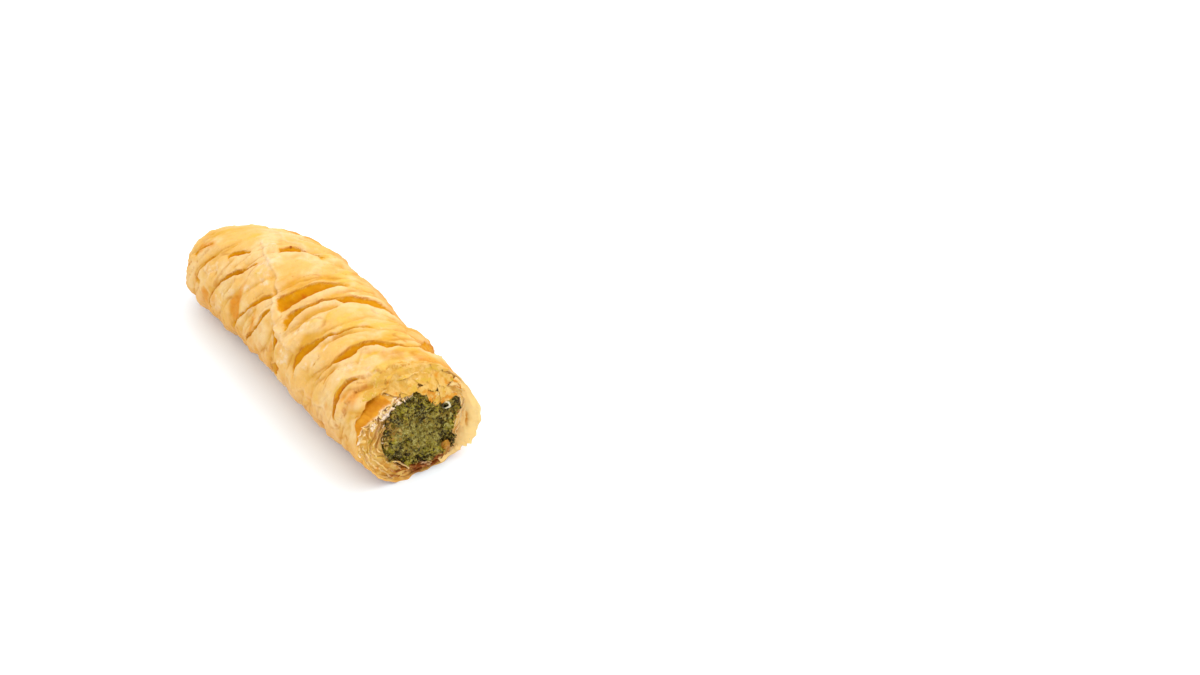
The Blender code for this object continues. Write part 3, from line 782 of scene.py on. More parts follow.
# Outer sheets broken back: angle, how far across the ridge is, the width of its flank, and the set-back
# in mm.
BROKEN_BACK = (
    (-66, 0.9, 0.8, 0.0), (-34, 0.95, 0.92, 2.6), (2, 0.95, 0.94, 4.6), (18, 0.8, 0.6, 4.5),
    (29, 0.64, 0.34, 4.2), (40, 0.54, 0.24, 4.0), (54, 0.3, 0.18, 3.7), (64, 0.16, 0.14, 3.3),
    (76, 0.06, 0.1, 2.2), (92, 0.02, 0.08, 0.0),
)
HOLLOW_BEHIND_LIP = 1.6 * MM
FLANK_FROM, FLANK_TO = 30.0, 82.0
FLANK_FADE = 14.0
print("deepest set-back of the broken sheets, in mm:", max(row[3] for row in BROKEN_BACK))


# %% Ridge, flank and reach at a place on the wall
def broken_back(degrees):
    """The ridge's place, its flank's width and the set-back of the sheets outside it, by angle."""
    table = np.array(BROKEN_BACK)
    return [np.interp(degrees, table[:, 0], table[:, column]) for column in (1, 2, 3)]


def in_flank(across, degrees):
    """1 on the oily flank between the outer lip and the ridge, on the left, falling to 0 round it."""
    ridge, width, _ = broken_back(degrees)
    ends = smooth_step(degrees, FLANK_FROM, FLANK_FROM + FLANK_FADE)
    ends = ends * (1.0 - smooth_step(degrees, FLANK_TO - FLANK_FADE, FLANK_TO))
    return (1.0 - smooth_step(across, ridge - 0.02, ridge + 0.02)) * smooth_step(across, 0.0, 0.02) * ends


def wall_reach(across, degrees):
    """Distance past the knife's plane at a place on the cut, from 0 at the rim to 1 at the bore."""
    arc = degrees * ARC_PER_DEGREE
    place = np.stack([arc, across * 0.004, 0.0 * arc], axis=-1)
    notches = FLAP_NOTCH * (ripple(place, 4.2 * MM, 12.6) + 0.5 * ripple(place, 1.4 * MM, 18.3))
    on_flap = np.minimum(1.5 * angle_window(degrees, FLAP_MIDDLE, FLAP_SPAN), 1.0)
    on_flap = on_flap * (1.0 - smooth_step(across, *FLAP_INNER_EDGE))
    steps = FLAP_STEPS * np.abs(ripple(place, 2.2 * MM, 33.7)) * smooth_step(-degrees, 110.0, 122.0)
    flap = np.minimum((FLAP_REACH + notches - steps) * on_flap, FLAP_REACH)
    ragged = RIM_RAGGED * (ripple(place, 3.1 * MM, 24.2) - 0.4) * (1.0 - on_flap)
    ragged = ragged * np.clip(1.0 - across, 0.0, 1.0)
    ridge, width, set_back = broken_back(degrees)
    broken = set_back * MM * (1.0 - smooth_step(across, ridge - width, ridge))
    hollow = HOLLOW_BEHIND_LIP * bump(across, ridge - width - 0.04, 0.09) * in_flank(across, degrees)
    return flap + ragged - broken - hollow


lip_reach = wall_reach(np.zeros(1), np.array([FLAP_MIDDLE]))[0]
print("the flap's lip at its middle, in mm past the cut:", round(float(lip_reach) / MM, 1))

# %% [markdown]
# ## One closed skin
# The skin starts as Blender's UV sphere. A sphere has rings between two poles, and so has this pastry:
# the rings run from the tucked tip along the outside to the rim, over the cut and back down the bore to
# its blind end. Moving each ring to its place gives a closed shell with no join to hide. Columns of
# points are packed closer on the top and left, where the detail is.

# %% The columns of points round the roll
VIEWED_FROM = -78.0
VIEWED_TO = 118.0


def ring_angles(viewed, rest):
    """Angles round the roll, close together where it is looked at and wider underneath."""
    front = np.linspace(VIEWED_FROM, VIEWED_TO, viewed, endpoint=False)
    back = np.linspace(VIEWED_TO, VIEWED_FROM + 360.0, rest, endpoint=False)
    return (np.concatenate([front, back]) + 180.0) % 360.0 - 180.0


print("angles of a coarse ring:", ring_angles(4, 2).tolist())


# %% Short ways to and from a mesh
def mesh_from(bm, name):
    """A new mesh with this bmesh's faces. The bmesh is freed."""
    mesh = bpy.data.meshes.new(name)
    bm.to_mesh(mesh)
    bm.free()
    return mesh


def points_of(mesh):
    """The mesh's points as rows of x, y and z."""
    points = np.zeros(len(mesh.vertices) * 3)
    mesh.vertices.foreach_get("co", points)
    return points.reshape(-1, 3)


def place_points(mesh, points):
    """Moves the mesh's points to places that are given as distances along the roll."""
    mesh.vertices.foreach_set("co", to_frame(points.reshape(-1, 3)).ravel())


# %% A sphere whose rings are moved
def sphere_through_rings(name, rings, first_pole, last_pole):
    """A closed mesh with these rings between its poles, and each point's ring and column."""
    columns = rings.shape[1]
    bm = bmesh.new()
    bmesh.ops.create_uvsphere(bm, u_segments=columns, v_segments=len(rings) + 1, radius=1.0)
    mesh = mesh_from(bm, name)
    sphere = points_of(mesh)
    down = np.arccos(np.clip(sphere[:, 2], -1.0, 1.0)) / math.pi
    ring = np.rint(down * (len(rings) + 1)).astype(int) - 1
    turn = np.arctan2(sphere[:, 1], sphere[:, 0]) / (2.0 * math.pi)
    column = np.rint(turn * columns).astype(int) % columns
    inner = np.clip(ring, 0, len(rings) - 1)
    points = rings[inner, column]
    points[ring < 0] = first_pole
    points[ring >= len(rings)] = last_pole
    place_points(mesh, points)
    return mesh, inner, column


# %% Masks, faces and the piece in the scene
SKIN_CREASE = 62.0
SHEET_CREASE = 50.0
FILLING_CREASE = 70.0
print("creases look sharp from, in degrees:", SHEET_CREASE, SKIN_CREASE, FILLING_CREASE)


def add_mask(mesh, name, values):
    """Keeps one number for each point, which a material can read by its name."""
    attribute = mesh.attributes.new(name, "FLOAT", "POINT")
    attribute.data.foreach_set("value", np.ascontiguousarray(values, dtype=np.float32))


def finish_mesh(mesh, crease_angle):
    """Points every face outward, smooths the shading and keeps real edges crisp."""
    bm = bmesh.new()
    bm.from_mesh(mesh)
    bmesh.ops.recalc_face_normals(bm, faces=bm.faces[:])
    if bm.calc_volume(signed=True) < 0.0:
        bmesh.ops.reverse_faces(bm, faces=bm.faces[:])
    bm.to_mesh(mesh)
    bm.free()
    mesh.shade_smooth()
    mesh.set_sharp_from_angle(angle=math.radians(crease_angle))


def add_piece(mesh, material, replaced=()):
    """Puts a mesh in the scene, riding on the pastry's one body, with its material."""
    mesh.materials.clear()
    mesh.materials.append(material)
    piece = bpy.data.objects.new(mesh.name, mesh)
    bpy.context.scene.collection.objects.link(piece)
    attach(piece, BODY)
    if replaced:
        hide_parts(*replaced)
    mesh.calc_loop_triangles()
    print(piece.name, "triangles:", len(mesh.loop_triangles))


# %% [markdown]
# ## Materials from named colours
# A baked colour is never one colour. The helper below starts a material, and each finish then mixes its
# own colours by masks and by noise in the object's own millimetres. Colours are written as they look on a
# screen, and turned into the linear values that a shader needs.


# %% Colours as they look
LIGHT_ON_TOP = 1.25


def linear(red, green, blue):
    """The albedo of what looks this colour (screen values up to 255) on top of the roll in this light."""
    values = [channel / 255.0 for channel in (red, green, blue)]
    lit = [v / 12.92 if v <= 0.04045 else ((v + 0.055) / 1.055) ** 2.4 for v in values]
    return tuple(v / LIGHT_ON_TOP for v in lit) + (1.0,)


print("pure white needs an albedo of", round(linear(255, 255, 255)[0], 2))


# %% Short ways to add nodes
class Finish:
    """A Principled material and short ways to add the nodes that colour it."""

    def __init__(self, name):
        self.material = bpy.data.materials.new(name)
        self.material.use_nodes = True
        self.nodes = self.material.node_tree.nodes
        self.links = self.material.node_tree.links
        self.shader = self.nodes["Principled BSDF"]
        self.place = self.nodes.new("ShaderNodeTexCoord").outputs["Object"]

    def put(self, socket, value):
        """Links a socket, or sets it where the value is a number or a colour."""
        if isinstance(value, bpy.types.NodeSocket):
            self.links.new(value, socket)
        else:
            socket.default_value = value

    def mask(self, name):
        """The number that each point of the mesh keeps under this name."""
        node = self.nodes.new("ShaderNodeAttribute")
        node.attribute_name = name
        return node.outputs["Fac"]

    def speckle(self, size, detail=2.0, roughness=0.5, stretch=None):
        """Noise from 0 to 1 in lumps of about this size in metres."""
        node = self.nodes.new("ShaderNodeTexNoise")
        node.inputs["Scale"].default_value = 1.0 / size
        node.inputs["Detail"].default_value = detail
        node.inputs["Roughness"].default_value = roughness
        place = self.place
        if stretch:
            mapping = self.nodes.new("ShaderNodeMapping")
            mapping.inputs["Scale"].default_value = stretch
            self.links.new(place, mapping.inputs["Vector"])
            place = mapping.outputs["Vector"]
        self.links.new(place, node.inputs["Vector"])
        return node.outputs["Fac"]

    def ramp(self, value, start, end, low=0.0, high=1.0):
        """The value taken from start..end to low..high, smoothly and without going past either."""
        node = self.nodes.new("ShaderNodeMapRange")
        node.interpolation_type = "SMOOTHSTEP"
        for name, given in (("Value", value), ("From Min", start), ("From Max", end),
                            ("To Min", low), ("To Max", high)):
            self.put(node.inputs[name], given)
        return node.outputs["Result"]

    def times(self, first, second):
        return self.math("MULTIPLY", first, second)

    def math(self, operation, first, second):
        node = self.nodes.new("ShaderNodeMath")
        node.operation = operation
        self.put(node.inputs[0], first)
        self.put(node.inputs[1], second)
        return node.outputs[0]

    def blend(self, share, first, second):
        """The first colour with this share of the second mixed in."""
        node = self.nodes.new("ShaderNodeMix")
        node.data_type = "RGBA"
        self.put(node.inputs[0], share)
        self.put(node.inputs[6], first)
        self.put(node.inputs[7], second)
        return node.outputs[2]

    def patches(self, colour, layer, name, speckle, pull, ramp):
        """The colour with this layer where the speckle, helped by the pull of the mask, is high enough."""
        share = self.math("ADD", speckle, self.times(self.mask(name), pull))
        return self.blend(self.ramp(share, *ramp), colour, layer)

    def soften(self, weight, radius, scale):
        """Lets light in under the surface: how much, how far for each colour, and the distance."""
        self.shader.inputs["Subsurface Weight"].default_value = weight
        self.shader.inputs["Subsurface Radius"].default_value = radius
        self.shader.inputs["Subsurface Scale"].default_value = scale

    def bumps(self, height, distance, strength=1.0, under=None):
        """Tiny bumps as deep as this distance, which are only in the shading."""
        node = self.nodes.new("ShaderNodeBump")
        node.inputs["Strength"].default_value = strength
        node.inputs["Distance"].default_value = distance
        self.links.new(height, node.inputs["Height"])
        if under:
            self.links.new(under, node.inputs["Normal"])
        return node.outputs["Normal"]


print("node helpers:", [name for name in vars(Finish) if not name.startswith("_")])

# %% [markdown]
# ## Baked filo
# The crests are pale cream, because the thin top sheet stands clear of the oil, and their lips get a
# painted highlight. The valleys are a clear amber with almost no blue in it, partly since there the oil
# soaks the dough and partly as painted shade, which also turns low places golden. Torn edges, with a
# painted shadow at their foot, and the steep sides are browner. Under that, patches a centimetre wide,
# some with painted highlights and some with painted shade, and freckles under a millimetre keep any
# stretch from being one tone.

# %% The baked skin's colours
CREAM = linear(253, 214, 150)
WARM = linear(250, 198, 114)
# Pale pink: partly drier dough, partly painted highlight on puckers and seams.
PALE_PINK_AND_HIGHLIGHT = linear(255, 226, 184)
YELLOW = linear(240, 196, 84)
# Orange: the browned sides, and painted shade in the hollows where many orange patches lie.
ORANGE_AND_SHADE = linear(238, 150, 38)
# Golden, amber and deep amber: partly the oil's colour, partly painted shade of valleys and low places.
GOLDEN_AND_SHADE = linear(232, 170, 50)
AMBER_AND_SHADE = linear(224, 150, 0)
DEEP_AMBER_AND_SHADE = linear(212, 110, 0)
TOASTED = linear(236, 160, 76)
# Brown painted shade in the creases and along the valleys' outlines.
CREASE_SHADE_BROWN = linear(196, 112, 26)
BROWN = linear(176, 96, 34)
BURNT = linear(160, 84, 24)
# Painted shade: small golden blotches stand for the soft shading of tiny puckers.
GOLD_SHADE_BLOTCH = linear(232, 176, 84)
# Brown of torn edges, partly browning and partly painted shadow at their foot.
TORN_BROWN_AND_SHADOW = linear(206, 126, 50)
# The skin's own wall shows only between the cut sheets; it is darker there as painted shade.
BETWEEN_SHADE_DARK, BETWEEN_PALE = linear(226, 166, 70), linear(244, 200, 112)
# Painted light: the flap is lighter, as if light shone through its thin sheets.
FLAP_PALE_LIT_THROUGH = linear(255, 224, 162)
GAP_AMBER = linear(216, 136, 6)
FRECKLE = linear(204, 132, 58)
ALONG_PLEATS = (1.0, 0.42, 0.42)
print("cream as an albedo:", [round(part, 3) for part in CREAM[:3]])


# %% The tones of the crests
def crest_colours(f):
    """Cream, warm and yellow tones, pale patches partly painted highlight, orange patches and low places
    partly painted shade, toasted sides, creases and blotches of painted shade, highlights on lips and seams.
    """
    colour = f.blend(f.ramp(f.speckle(9 * MM, 2.0), 0.38, 0.60), CREAM, WARM)
    grained = f.speckle(4.5 * MM, 2.0, 0.5, ALONG_PLEATS)
    colour = f.patches(colour, YELLOW, "yellow", grained, 0.28, (0.58, 0.82, 0.0, 0.85))
    # Pale pink patches: partly drier dough, partly painted highlight on the puckers.
    grained = f.speckle(2.4 * MM, 4.0, 0.6)
    colour = f.patches(colour, PALE_PINK_AND_HIGHLIGHT, "pale", grained, 0.26, (0.62, 0.84, 0.0, 0.85))
    # Painted shade: places lower than their neighbours turn golden, as the shade round each pillow.
    colour = f.blend(f.ramp(f.mask("rise"), 0.20 * MM, -1.0 * MM, 0.0, 0.9), colour, GOLDEN_AND_SHADE)
    grained = f.speckle(5 * MM, 2.0, 0.5, ALONG_PLEATS)
    # Orange patches: partly browning, partly painted shade in the hollows.
    colour = f.patches(colour, ORANGE_AND_SHADE, "orange", grained, 0.30, (0.61, 0.90, 0.0, 0.85))
    side = f.times(f.mask("side"), f.ramp(f.speckle(6 * MM, 3.0), 0.3, 0.62, 0.45, 1.0))
    colour = f.blend(side, colour, TOASTED)
    broken = f.ramp(f.speckle(5 * MM, 2.0), 0.40, 0.58)
    # Painted shade: the creases are darkened brown.
    crease = f.times(f.ramp(f.mask("crease"), 0.25, 1.0, 0.0, 0.42), broken)
    colour = f.blend(crease, colour, CREASE_SHADE_BROWN)
    # Painted shade of tiny puckers, as golden blotches.
    blotch_shade = f.ramp(f.speckle(1.7 * MM, 4.0, 0.65), 0.35, 0.65)
    colour = f.blend(f.times(blotch_shade, 0.22), colour, GOLD_SHADE_BLOTCH)
    # Painted highlight: the lips are lightened to cream.
    colour = f.blend(f.ramp(f.mask("lip"), 0.2, 1.0, 0.0, 0.6), colour, CREAM)
    # Painted highlight: a pale line along the soft sheet edges.
    return f.blend(f.times(f.mask("seam"), 0.35), colour, PALE_PINK_AND_HIGHLIGHT)


# %% The tones of the valleys
def valley_colours(f, colour):
    """Golden slopes and an amber floor with deep spots, partly oil and partly painted shade, the outline's
    painted shade, torn edges with a painted shadow, and burnt spots.
    """
    # Golden slopes, amber floor and deep amber spots: partly oil, partly painted shade.
    amber = f.math("ADD", f.mask("amber"), f.ramp(f.speckle(2.2 * MM, 3.0, 0.6), 0.3, 0.7, -0.16, 0.16))
    colour = f.blend(f.ramp(amber, 0.10, 0.38, 0.0, 0.75), colour, GOLDEN_AND_SHADE)
    colour = f.blend(f.ramp(amber, 0.26, 0.50), colour, AMBER_AND_SHADE)
    deep = f.times(f.ramp(amber, 0.62, 1.0), f.ramp(f.speckle(7 * MM, 2.0), 0.40, 0.60, 0.35, 1.0))
    colour = f.blend(deep, colour, DEEP_AMBER_AND_SHADE)
    broken = f.ramp(f.speckle(6 * MM, 2.0), 0.38, 0.60, 0.4, 1.0)
    # Painted shade: the valley's outline is darkened brown.
    colour = f.blend(f.times(f.ramp(f.mask("margin"), 0.35, 0.95), broken), colour, CREASE_SHADE_BROWN)
    # Torn edges: partly browning, partly painted shadow at the foot of each step.
    edge = f.times(f.mask("torn"), f.ramp(f.speckle(1.8 * MM, 2.0), 0.35, 0.6, 0.1, 0.9))
    colour = f.blend(edge, colour, TORN_BROWN_AND_SHADOW)
    return f.blend(f.ramp(f.mask("burn"), 0.2, 0.8), colour, BURNT)


# %% The cut, the underside and the freckles
def cut_and_base_colours(f, colour):
    """The cut with painted shade between the sheets, the flap's painted light, the gap behind it, the browned
    underside, and freckles on all.
    """
    # Painted shade: the wall seen between the sheets is darker amber.
    between_shade = f.blend(f.ramp(f.speckle(3 * MM, 3.0), 0.4, 0.6), BETWEEN_SHADE_DARK, BETWEEN_PALE)
    colour = f.blend(f.mask("cut"), colour, between_shade)
    # Painted light: the skin's wall on the flap is made lighter, as if lit through.
    colour = f.blend(f.mask("flap"), colour, FLAP_PALE_LIT_THROUGH)
    colour = f.blend(f.mask("deep"), colour, GAP_AMBER)
    tray = f.blend(f.ramp(f.speckle(4 * MM, 4.0), 0.3, 0.55), TOASTED, BROWN)
    colour = f.blend(f.mask("base"), colour, tray)
    freckles = f.ramp(f.speckle(0.9 * MM, 3.0, 0.7), 0.64, 0.72, 0.0, 0.55)
    return f.blend(freckles, colour, FRECKLE)


# %% The baked skin's finish
def make_filo_finish():
    """The skin's material: the tones in turn, then how glossy it is, and tiny bumps."""
    f = Finish("baked_filo")
    colour = crest_colours(f)
    colour = valley_colours(f, colour)
    colour = cut_and_base_colours(f, colour)
    f.put(f.shader.inputs["Base Color"], colour)
    f.put(f.shader.inputs["Roughness"], f.ramp(f.speckle(2.5 * MM, 3.0), 0.3, 0.7, 0.48, 0.66))
    f.shader.inputs["Specular IOR Level"].default_value = 0.06
    f.soften(0.08, (1.0, 0.5, 0.05), 1.2 * MM)
    grain = f.bumps(f.speckle(0.6 * MM, 4.0, 0.65), 0.12 * MM, 0.6)
    f.put(f.shader.inputs["Normal"], f.bumps(f.speckle(1.5 * MM, 4.0, 0.65), 0.35 * MM, 0.5, grain))
    return f.material


filo_finish = make_filo_finish()
print(filo_finish.name, "nodes:", len(filo_finish.node_tree.nodes))

# %% The skin's rings
SKIN_COLUMNS = (212, 74)
TUCK_RINGS = 40
ROLL_RINGS = 272
WALL_SET_BACK = 1.3 * MM
WALL_LEAN = 0.30
WALL_PLACES = (0.03, 0.06, 0.1, 0.15, 0.2, 0.25, 0.3, 0.36, 0.42, 0.48, 0.54, 0.62, 0.72, 0.82, 0.92, 0.98)
RIM_FROM, RIM_TO = 0.03, 0.14


def skin_rings(degrees):
    """Every ring of the pastry, the masks of those outside, and how many of them lie outside."""
    rim = rim_distance(degrees) + wall_reach(np.zeros(degrees.shape), degrees)
    quarter = np.arange(1, TUCK_RINGS + 1) / (TUCK_RINGS + 1) * math.pi / 2.0
    tuck = TUCK_LENGTH * (1.0 - np.cos(quarter))
    shares = np.linspace(0.0, 1.0, ROLL_RINGS + 1)
    along = np.concatenate([
        np.repeat(tuck[:, None], len(degrees), axis=1),
        TUCK_LENGTH + (rim - TUCK_LENGTH)[None, :] * shares[:, None],
    ])
    points, masks = skin(along, np.broadcast_to(degrees, along.shape))
    rim_points = points[-1]
    bore = bore_ring(1.0, degrees, GAP)
    wall = []
    for across in WALL_PLACES:
        set_back = WALL_SET_BACK * smooth_step(np.array(across), RIM_FROM, RIM_TO)
        reach = wall_reach(np.full(degrees.shape, across), degrees)
        behind = np.clip((wall_reach(np.zeros(degrees.shape), degrees) - reach) / FLAP_REACH, 0.0, 1.0)
        inward = across + WALL_LEAN * behind * (1.0 - across)
        point = rim_points + (bore - rim_points) * inward[..., None]
        point[..., 0] = cut_distance(point[..., 2]) + reach - set_back
        wall.append(point)
    inside = [bore_ring(station, degrees, GAP) for station in BORE_STATIONS[1:]]
    return np.concatenate([points, np.array(wall), np.array(inside)]), masks, len(along)


print("rings outside:", TUCK_RINGS + ROLL_RINGS + 1, "on the cut:", len(WALL_PLACES))


# %% Build the skin
def build_skin():
    """The pastry as one closed shell, with the masks that its finish reads."""
    degrees = ring_angles(*SKIN_COLUMNS)
    rings, masks, outer = skin_rings(degrees)
    tip = np.array([0.0, *plain_roll(np.zeros(1), np.zeros(1))[0][0, 1:]])
    mesh, ring, column = sphere_through_rings("pastry_skin", rings, tip, bore_tip(GAP))
    on_skin = ring < outer
    row = np.minimum(ring, outer - 1)
    for name, values in masks.items():
        add_mask(mesh, name, np.where(on_skin, values[row, column], 0.0))
    on_wall = ~on_skin & (ring < outer + len(WALL_PLACES))
    across = np.array(WALL_PLACES)[np.clip(ring - outer, 0, len(WALL_PLACES) - 1)]
    add_mask(mesh, "cut", on_wall * smooth_step(across, 0.0, 0.1))
    add_mask(mesh, "deep", on_wall * in_flank(across, degrees[column]))
    on_flap = angle_window(degrees[column], FLAP_MIDDLE, 1.3 * FLAP_SPAN)
    outer_part = 1.0 - smooth_step(across, 0.4, 0.6)
    add_mask(mesh, "flap", on_wall * smooth_step(on_flap, 0.0, 0.2) * outer_part)
    around = np.abs(degrees)[column]
    right = np.clip(-degrees, 0.0, 180.0)[column]
    left = np.clip(degrees, 0.0, 180.0)[column]
    side = np.maximum(smooth_step(right, 30.0, 68.0), 0.6 * smooth_step(left, 74.0, 112.0))
    add_mask(mesh, "side", side * on_skin)
    add_mask(mesh, "base", smooth_step(around, 124.0, 150.0) * on_skin)
    finish_mesh(mesh, SKIN_CREASE)
    add_piece(mesh, filo_finish, ("pastry",))


build_skin()

# %% [markdown]
# ## The cut sheets
# The wall is really one long set of sheets wound in a spiral, so it is made as one: a flat grid whose
# long side is wound round and inward, with the short side running back into the roll. Its faces are then
# copied and moved back along their normals, which gives it a paper's thickness and closes it. The cut
# edge is frayed with noise, and the sheets bunch and part because one slow noise bends the whole wall.

# %% The wall's regions on the cut: distance to the side and height in millimetres, reach and strength
WALL_REGIONS = {
    "pale": (
        (9.5, 24.5, 2.2, 0.9), (-7, 29.5, 2.5, 0.8), (0, 31, 2.5, 0.8), (18, 17, 3.0, 0.9),
        (22, 20, 4.0, 0.8), (20, 8, 5.0, 1.0), (-21, 17, 3.5, 1.0), (-17.5, 10, 3.2, 0.9),
        (4, 36, 3.0, 0.6), (-12, 5, 2.5, 0.7), (16, 4, 3.0, 0.9),
    ),
    "oily": (
        (-16.5, 15.5, 2.6, 1.0), (-15.5, 19.5, 2.0, 0.9), (-13.5, 11, 2.6, 1.0), (0, 34, 4.0, 0.9),
        (7, 27, 2.6, 0.9), (12, 30, 3.0, 0.8), (-5, 35, 3.0, 0.8), (-10.5, 7.5, 2.4, 0.9),
        (14, 13, 2.0, 1.3), (8, 34, 3.0, 0.7),
    ),
    "amber": (
        (-7, 2.8, 3.2, 1.3), (15.5, 28, 2.6, 1.0), (17.8, 25, 1.8, 1.0), (8.5, 27.5, 1.8, 0.7),
        (-9, 3, 3.2, 1.0), (-4, 2.8, 2.6, 0.9), (13, 25.5, 1.6, 0.8), (-15.5, 6.5, 2.0, 0.6),
    ),
    "tan": (
        (-13.2, 21, 3.0, 1.5), (-12.4, 17, 2.6, 1.4), (-13.0, 25, 1.8, 1.0), (-11.2, 24.5, 2.2, 1.4),
        (-12, 12, 1.8, 0.9),
    ),
    "green": (
        (13.6, 14.2, 1.3, 1.6), (13.7, 12.0, 1.1, 1.5), (13.4, 16.4, 0.9, 1.1),
    ),
    "burnt": (
        (-8, 2.2, 4.2, 0.8), (-1.5, 2.0, 2.8, 1.6), (6, 1.0, 3.6, 1.5), (1, 1.2, 2.8, 1.4),
        (10, 1.2, 3.2, 1.5), (-2.5, 1.6, 1.8, 1.0),
    ),
    "crumb": (
        (-5, 29, 1.8, 1.0), (-9.5, 27.5, 1.9, 1.0), (-15.5, 25.8, 1.6, 1.0), (-14.5, 23, 1.4, 0.8),
        (1.5, 3.6, 1.4, 0.8), (-1, 4.6, 1.4, 0.7), (-12.5, 26.5, 1.4, 1.0),
    ),
}


def region(points, regions):
    """How much a place on the cut belongs to a list of soft round regions, from 0 up."""
    total = np.zeros(points.shape[:-1])
    for side, up, reach, strength in regions:
        away = np.hypot(points[..., 1] - side * MM, points[..., 2] - up * MM) / (reach * MM)
        total = np.maximum(total, strength * np.exp(-(away**2)))
    return total


wall_marks = sum(len(regions) for regions in WALL_REGIONS.values())
print("kinds of region on the wall:", len(WALL_REGIONS), "regions:", wall_marks)

# %% The wall's finish
GOLD_LAYER = linear(246, 198, 110)
PALE_LAYER = linear(252, 216, 154)
CRUMB_WHITE = linear(268, 238, 206)
OILY_LAYER = linear(226, 180, 62)
AMBER_LAYER = linear(226, 142, 24)
# Painted light: lighter than white would allow, as if light shone through the thin flap.
FLAP_LIT_THROUGH = linear(282, 236, 156)
TAN_LAYER = linear(214, 160, 84)
BURNT_LAYER = linear(150, 78, 24)
TORN_GOLD = linear(228, 172, 70)
TORN_PALE = linear(240, 194, 108)
GREEN_LAYER = linear(200, 184, 40)
FLANK_DEEP, FLANK_BRIGHT = linear(212, 130, 4), linear(232, 158, 30)
WALL_LAYERS = {
    "pale": PALE_LAYER,
    "oily": OILY_LAYER,
    "amber": AMBER_LAYER,
    "tan": TAN_LAYER,
    "green": GREEN_LAYER,
}


def make_wall_finish(name, softness, gold, pale):
    """The cut sheets' material: gold and pale layers, then each region's colour, crumbs and burnt parts."""
    f = Finish(name)
    colour = f.blend(f.ramp(f.speckle(3 * MM, 3.0, 0.6), 0.4, 0.62), gold, pale)
    for kind, layer in WALL_LAYERS.items():
        colour = f.patches(colour, layer, kind, f.speckle(2.2 * MM, 3.0, 0.65), 0.30, (0.60, 0.80, 0.0, 0.95))
    streak = f.ramp(f.speckle(0.8 * MM, 2.0), 0.56, 0.70, 0.0, 0.3)
    colour = f.blend(streak, colour, AMBER_LAYER)
    flank = f.blend(f.ramp(f.speckle(5 * MM, 3.0), 0.38, 0.62), FLANK_DEEP, FLANK_BRIGHT)
    colour = f.blend(f.mask("deep"), colour, flank)
    crumb = f.times(f.mask("crumb"), f.ramp(f.speckle(1.4 * MM, 3.0, 0.65), 0.40, 0.52))
    colour = f.blend(crumb, colour, CRUMB_WHITE)
    clouded = f.ramp(f.speckle(5 * MM, 3.0), 0.3, 0.6, 0.5, 1.0)
    # Painted light shining through the flap.
    colour = f.blend(f.times(f.mask("flap"), clouded), colour, FLAP_LIT_THROUGH)
    burnt = f.times(f.mask("burnt"), f.ramp(f.speckle(2.5 * MM, 3.0, 0.6), 0.3, 0.6, 0.6, 1.0))
    colour = f.blend(burnt, colour, BURNT_LAYER)
    f.put(f.shader.inputs["Base Color"], colour)
    f.put(f.shader.inputs["Roughness"], f.ramp(f.speckle(2 * MM, 2.0), 0.3, 0.7, 0.4, 0.65))
    f.shader.inputs["Specular IOR Level"].default_value = 0.15
    f.soften(softness, (1.0, 0.7, 0.35), 1.4 * MM)
    f.put(f.shader.inputs["Normal"], f.bumps(f.speckle(0.7 * MM, 3.0, 0.6), 0.12 * MM, 0.5))
    return f.material


wall_finish = make_wall_finish("cut_filo", 0.16, GOLD_LAYER, PALE_LAYER)
torn_finish = make_wall_finish("torn_filo", 0.05, TORN_GOLD, TORN_PALE)
print("materials:", filo_finish.name, wall_finish.name, torn_finish.name)

# %% Places on the wall
RIM_DEGREES = np.linspace(-180.0, 180.0, 721)
RIM_POINTS = skin(rim_distance(RIM_DEGREES) + wall_reach(np.zeros(721), RIM_DEGREES), RIM_DEGREES)[0]


def wall_point(across, degrees):
    """A place on the wall's face: across it from the rim (0) to the bore (1), in the knife's plane."""
    wrapped = (degrees + 180.0) % 360.0 - 180.0
    rim = np.stack([np.interp(wrapped, RIM_DEGREES, RIM_POINTS[:, axis]) for axis in range(3)], axis=-1)
    point = rim + (bore_ring(1.0, wrapped, GAP) - rim) * across[..., None]
    point[..., 0] = cut_distance(point[..., 2])
    return point


def shown_across(degrees):
    """How far across the wall the sheets reach before the filling shows. It can be past the bore's edge."""
    rim = np.stack([np.interp(degrees, RIM_DEGREES, RIM_POINTS[:, axis]) for axis in (1, 2)], axis=-1)
    outer = np.hypot(rim[..., 0] - BORE_MIDDLE[0], rim[..., 1] - BORE_MIDDLE[1])
    inner = bore_radius(degrees)
    return np.clip(1.0 + (inner - shown_radius(degrees)) / (outer - inner), 0.72, 1.9)


def wall_masks(point, across, degrees):
    """The regions' masks at points on the cut, and the deep amber of the gap behind the lip."""
    masks = {name: region(point, regions) for name, regions in WALL_REGIONS.items()}
    masks["deep"] = in_flank(across, degrees)
    for name in ("crumb", "pale"):
        masks[name] = masks[name] * (1.0 - masks["deep"])
    return masks


print("the rim's highest point, in mm:", round(float(RIM_POINTS[:, 2].max()) / MM, 1))


# %% A grid with a sheet's thickness
def grid_mesh(columns, rows, place):
    """A flat grid whose points and masks come from place(u, v), with u and v from 0 to 1."""
    bm = bmesh.new()
    bmesh.ops.create_grid(bm, x_segments=columns, y_segments=rows, size=0.5)
    flat = np.array([vert.co[:2] for vert in bm.verts]) + 0.5
    points, masks = place(flat[:, 0], flat[:, 1])
    for layer_name in masks:
        bm.verts.layers.float.new(layer_name)
    layers = [bm.verts.layers.float[layer_name] for layer_name in masks]
    for index, vert in enumerate(bm.verts):
        vert.co = points[index]
        for layer, values in zip(layers, masks.values()):
            vert[layer] = values[index]
    return bm


